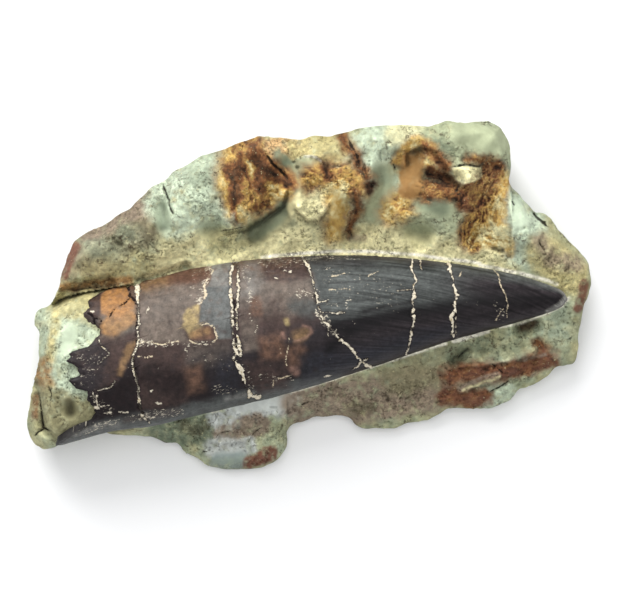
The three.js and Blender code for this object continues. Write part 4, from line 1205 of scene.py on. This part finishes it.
def rock_colours(points, depth, fields):
    """Painted tone of each point of the block, darker with dirt and painted shade in its hollows and lighter
    with a painted highlight on its ridges.
    """
    plan = np.stack([fields["x"], fields["y"]], 1)
    lifted = flat(plan)
    smooth, stained = fields["smooth"], fields["stained"]
    colours = np.tile(linear(ROCK_TONES["sage"]), (len(plan), 1))
    for tone, size, most, seed in MUD_LAYERS:
        share = most * ease(0.3 + 1.4 * fractal(lifted, size, 4, seed)) * (1 - 0.6 * smooth)
        blend(colours, linear(ROCK_TONES[tone]), share)
    paint(colours, ROCK_TONES, ROCK_STAINS, plan, 84, smooth)
    level = fields["tone"] + 0.16 * fractal(lifted, 2.2, 4, 96) + 0.25 * (1 - stained)
    blend(colours, gradient(level, RUST_TONES, ROCK_TONES), stained)
    paint(colours, ROCK_TONES, CLEAN_PATCHES, plan, 97, smooth)
    body = np.tile(linear(ROCK_TONES["sage"]), (len(plan), 1))
    for tone, size, most, seed in WALL_LAYERS:
        share = most * ease(0.1 + 1.5 * fractal(points, size, 4, seed))
        blend(body, linear(ROCK_TONES[tone]), share)
    wall = ease(2.6 * depth + 0.35 * fractal(points, 3.0, 3, 94) * (depth > 0))[:, None]
    colours += (body - colours) * WALL_COVER * wall
    # Hollows, looked for near and far, are darker with dirt and painted shade, places cut into the wall are
    # darker with painted shade, and ridges are lighter with a painted highlight; the walls start a step
    # lighter than the top.
    near, far = fields["near"] * (depth == 0), fields["far"] * (depth == 0)
    shade = 1 - 0.42 * ease(near / 0.3 - 0.1) - 0.22 * ease(far / 1.8)
    shade += 0.2 * ease(-near / 0.26) + 0.12 * ease(-far / 1.4)
    shade += 0.12 - 0.42 * ease(fields["cut_in"] / 1.6)
    shade -= 0.12 * (depth == 0)
    return np.maximum(colours * shade[:, None], DARKEST_ROCK)


# Tones across the crown, from its convex edge (0) to its concave edge (1): its own banding, with a painted
# sheen near the convex edge and painted shade towards the concave edge.
UPPER_SHADES = [
    (0.0, "umber"), (0.2, "taupe"), (0.46, "walnut"), (0.6, "charcoal"), (0.9, "pitch"), (1.0, "slate")]
BLACK_SHADES = [
    (0.0, "charcoal"), (0.1, "slate"), (0.42, "slate"), (0.56, "jet"), (0.72, "charcoal"), (0.88, "navy"),
    (1.0, "charcoal")]
TIP_SHADES = [(0.0, "slate"), (0.25, "charcoal"), (0.5, "jet"), (0.9, "charcoal")]


def crown_colours(points, streak):
    """Painted tone of each point of the crown, with a painted sheen near its convex edge and painted shade
    towards its concave edge.
    """
    plan = points[:, :2]
    lifted = flat(plan)
    middle, half, _ = crown_section(plan[:, 0])
    down = clamp01((middle + half - plan[:, 1]) / (2 * half))
    down = down + 0.05 * fractal(lifted * [0.25, 1, 1], 1.4, 3, 95)
    ragged = plan[:, 0] + 1.2 * fractal(lifted, 3.0, 3, 91) + 0.3 * (plan[:, 1] - 2)
    black = ease((ragged + 0.5) / 2.4)[:, None]
    left = gradient(down, UPPER_SHADES, CROWN_TONES)
    right = gradient(down, BLACK_SHADES, CROWN_TONES)
    tip = gradient(down, TIP_SHADES, CROWN_TONES)
    right += (tip - right) * ease((plan[:, :1] - 22) / 14)
    colours = left + (right - left) * black
    paint(colours, CROWN_TONES, CROWN_STAINS, plan, 92, np.zeros(len(plan)))
    colours += (linear(CROWN_TONES["jet"]) - colours) * STREAK_COVER * streak[:, None]
    edge = plan[:, 0] - root_break_x(plan[:, 1])
    crumbly = 1 - ease((edge - 0.3 - 0.6 * fractal(lifted, 1.2, 3, 93)) / 0.7)
    colours += (linear(CROWN_TONES["charcoal"]) - colours) * CRUMBLY_COVER * crumbly[:, None]
    return np.maximum(colours, DARKEST_CROWN)


# ---------------------------------------------------------------- Blender meshes

def make_mesh(name, points, faces):
    mesh = bpy.data.meshes.new(name)
    mesh.from_pydata((points * MM).tolist(), [], faces)
    mesh.update()
    mesh.shade_smooth()
    piece = bpy.data.objects.new(name, mesh)
    bpy.context.scene.collection.objects.link(piece)
    return piece


def add_field(piece, name, values, kind="FLOAT", slot="value"):
    layer = piece.data.attributes.new(name, kind, "POINT")
    layer.data.foreach_set(slot, np.asarray(values, np.float32).ravel())


def add_tone(piece, colours):
    add_field(piece, "tone", flat(colours, 1.0), "FLOAT_COLOR", "color")


# ---------------------------------------------------------------- materials

class Nodes:
    """Short names for a material's nodes and links."""

    def __init__(self, name):
        self.material = bpy.data.materials.new(name)
        self.material.use_nodes = True
        self.tree = self.material.node_tree
        self.shader = self.tree.nodes["Principled BSDF"]

    def add(self, kind, inputs, **settings):
        made = self.tree.nodes.new(kind)
        for key, value in settings.items():
            setattr(made, key, value)
        for key, value in inputs.items():
            self.put(made.inputs[key], value)
        return made

    def put(self, socket, value):
        if isinstance(value, bpy.types.NodeSocket):
            self.tree.links.new(value, socket)
        else:
            socket.default_value = value

    def field(self, name, output="Fac"):
        return self.add("ShaderNodeAttribute", {}, attribute_name=name).outputs[output]

    def spot(self):
        return self.add("ShaderNodeTexCoord", {}).outputs["Object"]

    def noise(self, size, detail=4.0, rough=0.55):
        """Noise whose features are `size` millimetres, 0 to 1."""
        inputs = {"Vector": self.spot(), "Scale": 1 / (size * MM), "Detail": detail, "Roughness": rough}
        return self.add("ShaderNodeTexNoise", inputs).outputs["Fac"]

    def skin_noise(self, along, across):
        """Noise laid along the crown's skin, with so many features to the millimetre each way, 0 to 1."""
        skin = self.field("skin", "Vector")
        spot = self.add("ShaderNodeMapping", {"Vector": skin, "Scale": (along, across, 1.0)}).outputs[0]
        inputs = {"Vector": spot, "Scale": 1.0, "Detail": 5.0, "Roughness": 0.65}
        return self.add("ShaderNodeTexNoise", inputs).outputs["Fac"]

    def math(self, operation, a, b=0.0):
        return self.add("ShaderNodeMath", {0: a, 1: b}, operation=operation).outputs[0]

    def times(self, a, b):
        return self.math("MULTIPLY", a, b)

    def plus(self, a, b):
        return self.math("ADD", a, b)

    def minus(self, a, b):
        return self.math("SUBTRACT", a, b)

    def ramp(self, value, low, high, to_low=0.0, to_high=1.0):
        inputs = {"Value": value, "From Min": low, "From Max": high, "To Min": to_low, "To Max": to_high}
        return self.add("ShaderNodeMapRange", inputs, interpolation_type="SMOOTHSTEP").outputs["Result"]

    def mix(self, share, a, b, blend="MIX"):
        made = self.add("ShaderNodeMix", {}, data_type="RGBA", blend_type=blend)
        for slot, value in ((0, share), (6, a), (7, b)):
            self.put(made.inputs[slot], value)
        return made.outputs[2]

    def over(self, colour, share, code):
        """A plain tone laid over the colour."""
        return self.mix(share, colour, rgba(code))

    def shaded(self, colour, amount):
        """The colour made lighter or darker by a factor."""
        grey = self.add("ShaderNodeCombineColor", {0: amount, 1: amount, 2: amount}).outputs[0]
        return self.mix(1.0, colour, grey, "MULTIPLY")

    def bump(self, height, distance, strength, under=None):
        inputs = {"Height": height, "Distance": distance * MM, "Strength": strength}
        if under is not None:
            inputs["Normal"] = under
        return self.add("ShaderNodeBump", inputs).outputs["Normal"]


def rgba(code):
    return (*linear(code), 1.0)


ROCK_ROUGHNESS = 0.9
ROCK_SPECULAR = 0.25
ENAMEL_IOR = 1.5
ENAMEL_SPECULAR = 0.16
SKIN_LINES = (0.07, 1.4)  # features to the millimetre along and across the crown's skin: its ribs
SKIN_BANDS = (0.9, 0.3)   # faint bands across its smooth part
SKIN_FLECKS = (1.5, 2.6)  # flecks of mineral


def rock_material():
    m = Nodes("mudstone")
    coarse = m.field("coarse")
    quiet = m.ramp(m.field("smooth"), 0, 1, 1.0, 0.12)
    even = m.noise(2.6, 6)
    colour = m.shaded(m.field("tone", "Color"), m.ramp(even, 0.3, 0.7, 0.9, 1.09))
    swing = m.times(m.plus(m.times(coarse, 0.5), 0.6), quiet)
    fine = m.times(m.minus(m.noise(0.8, 9, 0.78), 0.5), swing)
    colour = m.shaded(colour, m.plus(m.times(fine, 2.6), 1.0))
    sown = m.minus(m.noise(0.8, 8, 0.72), m.times(coarse, 0.04))
    specks = m.times(m.ramp(sown, 0.33, 0.38, 0.55, 0.0), quiet)
    colour = m.over(colour, specks, ROCK_TONES["peat"])
    seam = m.math("ABSOLUTE", m.minus(m.noise(3.4, 7, 0.6), 0.5))
    broken = m.times(m.ramp(m.noise(2.6, 5), 0.5, 0.6), quiet)
    seam = m.times(m.ramp(seam, 0.002, 0.016, 0.7, 0.0), broken)
    colour = m.over(colour, seam, ROCK_TONES["bark"])
    glints = m.times(m.ramp(m.noise(0.7, 8, 0.72), 0.61, 0.66, 0.0, 0.55), quiet)
    colour = m.over(colour, glints, ROCK_TONES["cream"])
    split = m.plus(m.field("fissure"), m.times(m.noise(0.35, 4), 0.16))
    colour = m.over(colour, m.ramp(split, 0.04, 0.16, 0.85, 0.0), ROCK_TONES["ink"])
    m.put(m.shader.inputs["Base Color"], colour)
    m.shader.inputs["Roughness"].default_value = ROCK_ROUGHNESS
    m.shader.inputs["Specular IOR Level"].default_value = ROCK_SPECULAR
    lumps = m.bump(m.noise(1.4, 9, 0.72), 0.9, m.times(quiet, 0.85))
    lumps = m.bump(m.times(seam, -1.0), 0.3, 0.8, lumps)
    dust = m.bump(m.noise(0.3, 4, 0.6), 0.12, m.times(quiet, 0.6), lumps)
    m.put(m.shader.inputs["Normal"], dust)
    return m.material


def crown_material():
    m = Nodes("enamel")
    lines = m.skin_noise(*SKIN_LINES)
    colour = m.field("tone", "Color")
    colour = m.shaded(colour, m.ramp(m.noise(3.2, 6), 0.3, 0.7, 0.86, 1.12))
    ribbed = m.times(m.minus(lines, 0.5), m.field("ribbed"))
    colour = m.shaded(colour, m.plus(m.times(ribbed, 3.6), 1.0))
    bands = m.minus(m.skin_noise(*SKIN_BANDS), 0.5)
    across = m.times(bands, m.ramp(m.field("ribbed"), 0.2, 0.9, 0.9, 0.0))
    colour = m.shaded(colour, m.plus(across, 1.0))
    colour = m.shaded(colour, m.ramp(m.noise(0.9, 9, 0.78), 0.3, 0.7, 0.68, 1.34))
    fine = m.times(m.minus(m.noise(0.32, 5, 0.7), 0.5), 0.75)
    hair = m.ramp(m.plus(m.field("hair"), fine), -0.04, 0.1, 0.8, 0.0)
    colour = m.over(colour, hair, CROWN_TONES["ivory"])
    chip = m.ramp(m.plus(m.field("chip"), fine), -0.08, 0.08, 0.85, 0.0)
    colour = m.over(colour, chip, CROWN_TONES["bone"])
    patchy = m.times(m.ramp(m.noise(2.0, 3), 0.4, 0.6, 0.09, 0.23), m.field("fleck"))
    sown = m.plus(m.skin_noise(*SKIN_FLECKS), patchy)
    colour = m.over(colour, m.ramp(sown, 0.67, 0.8, 0.0, 0.75), CROWN_TONES["bone"])
    # Painted shadow: a dark band along both sides of each raised crack mineral.
    beside = m.ramp(m.plus(m.field("vein"), fine), 0.04, 0.34, 0.75, 0.0)
    colour = m.over(colour, beside, CROWN_TONES["pitch"])
    vein = m.ramp(m.plus(m.field("vein"), fine), -0.06, 0.08, 1.0, 0.0)
    pale = m.ramp(m.noise(0.5, 4, 0.6), 0.3, 0.5)
    mineral = m.mix(pale, rgba(CROWN_TONES["sand"]), rgba(CROWN_TONES["bone"]))
    colour = m.mix(vein, colour, mineral)
    gap = m.ramp(m.plus(m.field("gap"), fine), 0.0, 0.1, 0.95, 0.0)
    colour = m.over(colour, gap, CROWN_TONES["pitch"])
    m.put(m.shader.inputs["Base Color"], colour)
    rough = m.math("MAXIMUM", vein, m.math("MAXIMUM", chip, gap))
    satin = m.ramp(m.noise(1.6, 5), 0.3, 0.7, 0.36, 0.54)
    m.put(m.shader.inputs["Roughness"], m.plus(satin, m.times(rough, 0.45)))
    m.shader.inputs["IOR"].default_value = ENAMEL_IOR
    m.shader.inputs["Specular IOR Level"].default_value = ENAMEL_SPECULAR
    ribs = m.bump(lines, 0.16, 0.35)
    crumbs = m.bump(m.times(m.noise(0.3, 4, 0.6), vein), 0.2, 0.8, ribs)
    m.put(m.shader.inputs["Normal"], m.bump(m.noise(0.6, 5, 0.6), 0.05, 0.3, crumbs))
    return m.material


# ---------------------------------------------------------------- the pieces

def make_rock():
    points, faces, depth, fields = rock_surface()
    plan = np.stack([fields["x"], fields["y"]], 1)
    piece = make_mesh("matrix_surface", points, faces)
    add_tone(piece, rock_colours(points, depth, fields))
    for name in ("coarse", "smooth"):
        add_field(piece, name, fields[name] * (1 - depth))
    fissure = gap_to(plan, FISSURES, wander(plan, 2.2, 0.14, 11), True)
    add_field(piece, "fissure", fissure + 3 * (depth > 0.1))      # none run down the walls
    piece.data.materials.append(rock_material())
    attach(piece, "root")
    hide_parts("matrix")


def make_crown():
    points, faces, skin, fields = crown_surface()
    piece = make_mesh("tooth_surface", points, faces)
    add_tone(piece, crown_colours(points, fields["streak"]))
    for name in ("vein", "gap", "chip", "hair", "fleck", "ribbed"):
        add_field(piece, name, fields[name])
    add_field(piece, "skin", flat(skin), "FLOAT_VECTOR", "vector")
    piece.data.materials.append(crown_material())
    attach(piece, "root")
    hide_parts("tooth")


# ---------------------------------------------------------------- floor, light and camera

FLOOR_SIZE = 3.0
FLOOR_TONE = (0.9, 0.9, 0.9, 1)
FLOOR_ROUGHNESS = 0.9
# Square soft lamps: name, place, side in metres, watts.
LAMPS = [
    ("window", (-0.22, 0.62, 0.46), 0.6, 7.4),
    ("ceiling", (0.05, 0.10, 0.95), 0.9, 4.8),
    ("fill", (0.1, -0.7, 0.5), 0.6, 0.9),
]
LAMPS_FACE = (0, 0, 0.012)
SKY_TONE = (0.95, 0.97, 1.0, 1)
SKY_STRENGTH = 0.42
CAMERA_LENS = 300.0
CAMERA_SENSOR = 36.0
CAMERA_REACH = 20
FOCUS_HEIGHT = 15.0       # the height at which one pixel covers PIXEL millimetres


def make_floor():
    mesh = bpy.data.meshes.new("floor")
    side = FLOOR_SIZE / 2
    corners = [(-side, -side, 0), (side, -side, 0), (side, side, 0), (-side, side, 0)]
    mesh.from_pydata(corners, [], [(0, 1, 2, 3)])
    floor = bpy.data.objects.new("floor", mesh)
    bpy.context.scene.collection.objects.link(floor)
    m = Nodes("pale_floor")
    m.put(m.shader.inputs["Base Color"], FLOOR_TONE)
    m.shader.inputs["Roughness"].default_value = FLOOR_ROUGHNESS
    m.shader.inputs["Specular IOR Level"].default_value = 0.0
    mesh.materials.append(m.material)


def add_light(name, spot, size, power):
    """A square soft light, in metres and watts, that faces the specimen."""
    lamp = bpy.data.lights.new(name, "AREA")
    lamp.size = size
    lamp.energy = power
    light = bpy.data.objects.new(name, lamp)
    light.location = spot
    light.rotation_euler = (Vector(LAMPS_FACE) - Vector(spot)).to_track_quat("-Z", "Y").to_euler()
    bpy.context.scene.collection.objects.link(light)


def light_scene():
    for lamp in LAMPS:
        add_light(*lamp)
    world = bpy.data.worlds.new("room")
    world.use_nodes = True
    background = world.node_tree.nodes["Background"]
    background.inputs["Color"].default_value = SKY_TONE
    background.inputs["Strength"].default_value = SKY_STRENGTH
    bpy.context.scene.world = world
    bpy.context.scene.view_settings.view_transform = "Standard"


def make_camera():
    wide, high = FRAME_PIXELS
    centre = place([(wide / 2, high / 2)])[0]
    distance = wide * PIXEL * CAMERA_LENS / CAMERA_SENSOR
    lens = bpy.data.cameras.new("camera")
    lens.lens = CAMERA_LENS
    lens.sensor_width = CAMERA_SENSOR
    lens.clip_end = CAMERA_REACH
    camera = bpy.data.objects.new("camera", lens)
    camera.location = (centre[0] * MM, centre[1] * MM, (FOCUS_HEIGHT + distance) * MM)
    bpy.context.scene.collection.objects.link(camera)
    bpy.context.scene.camera = camera


make_camera()
make_rock()
make_crown()
make_floor()
light_scene()
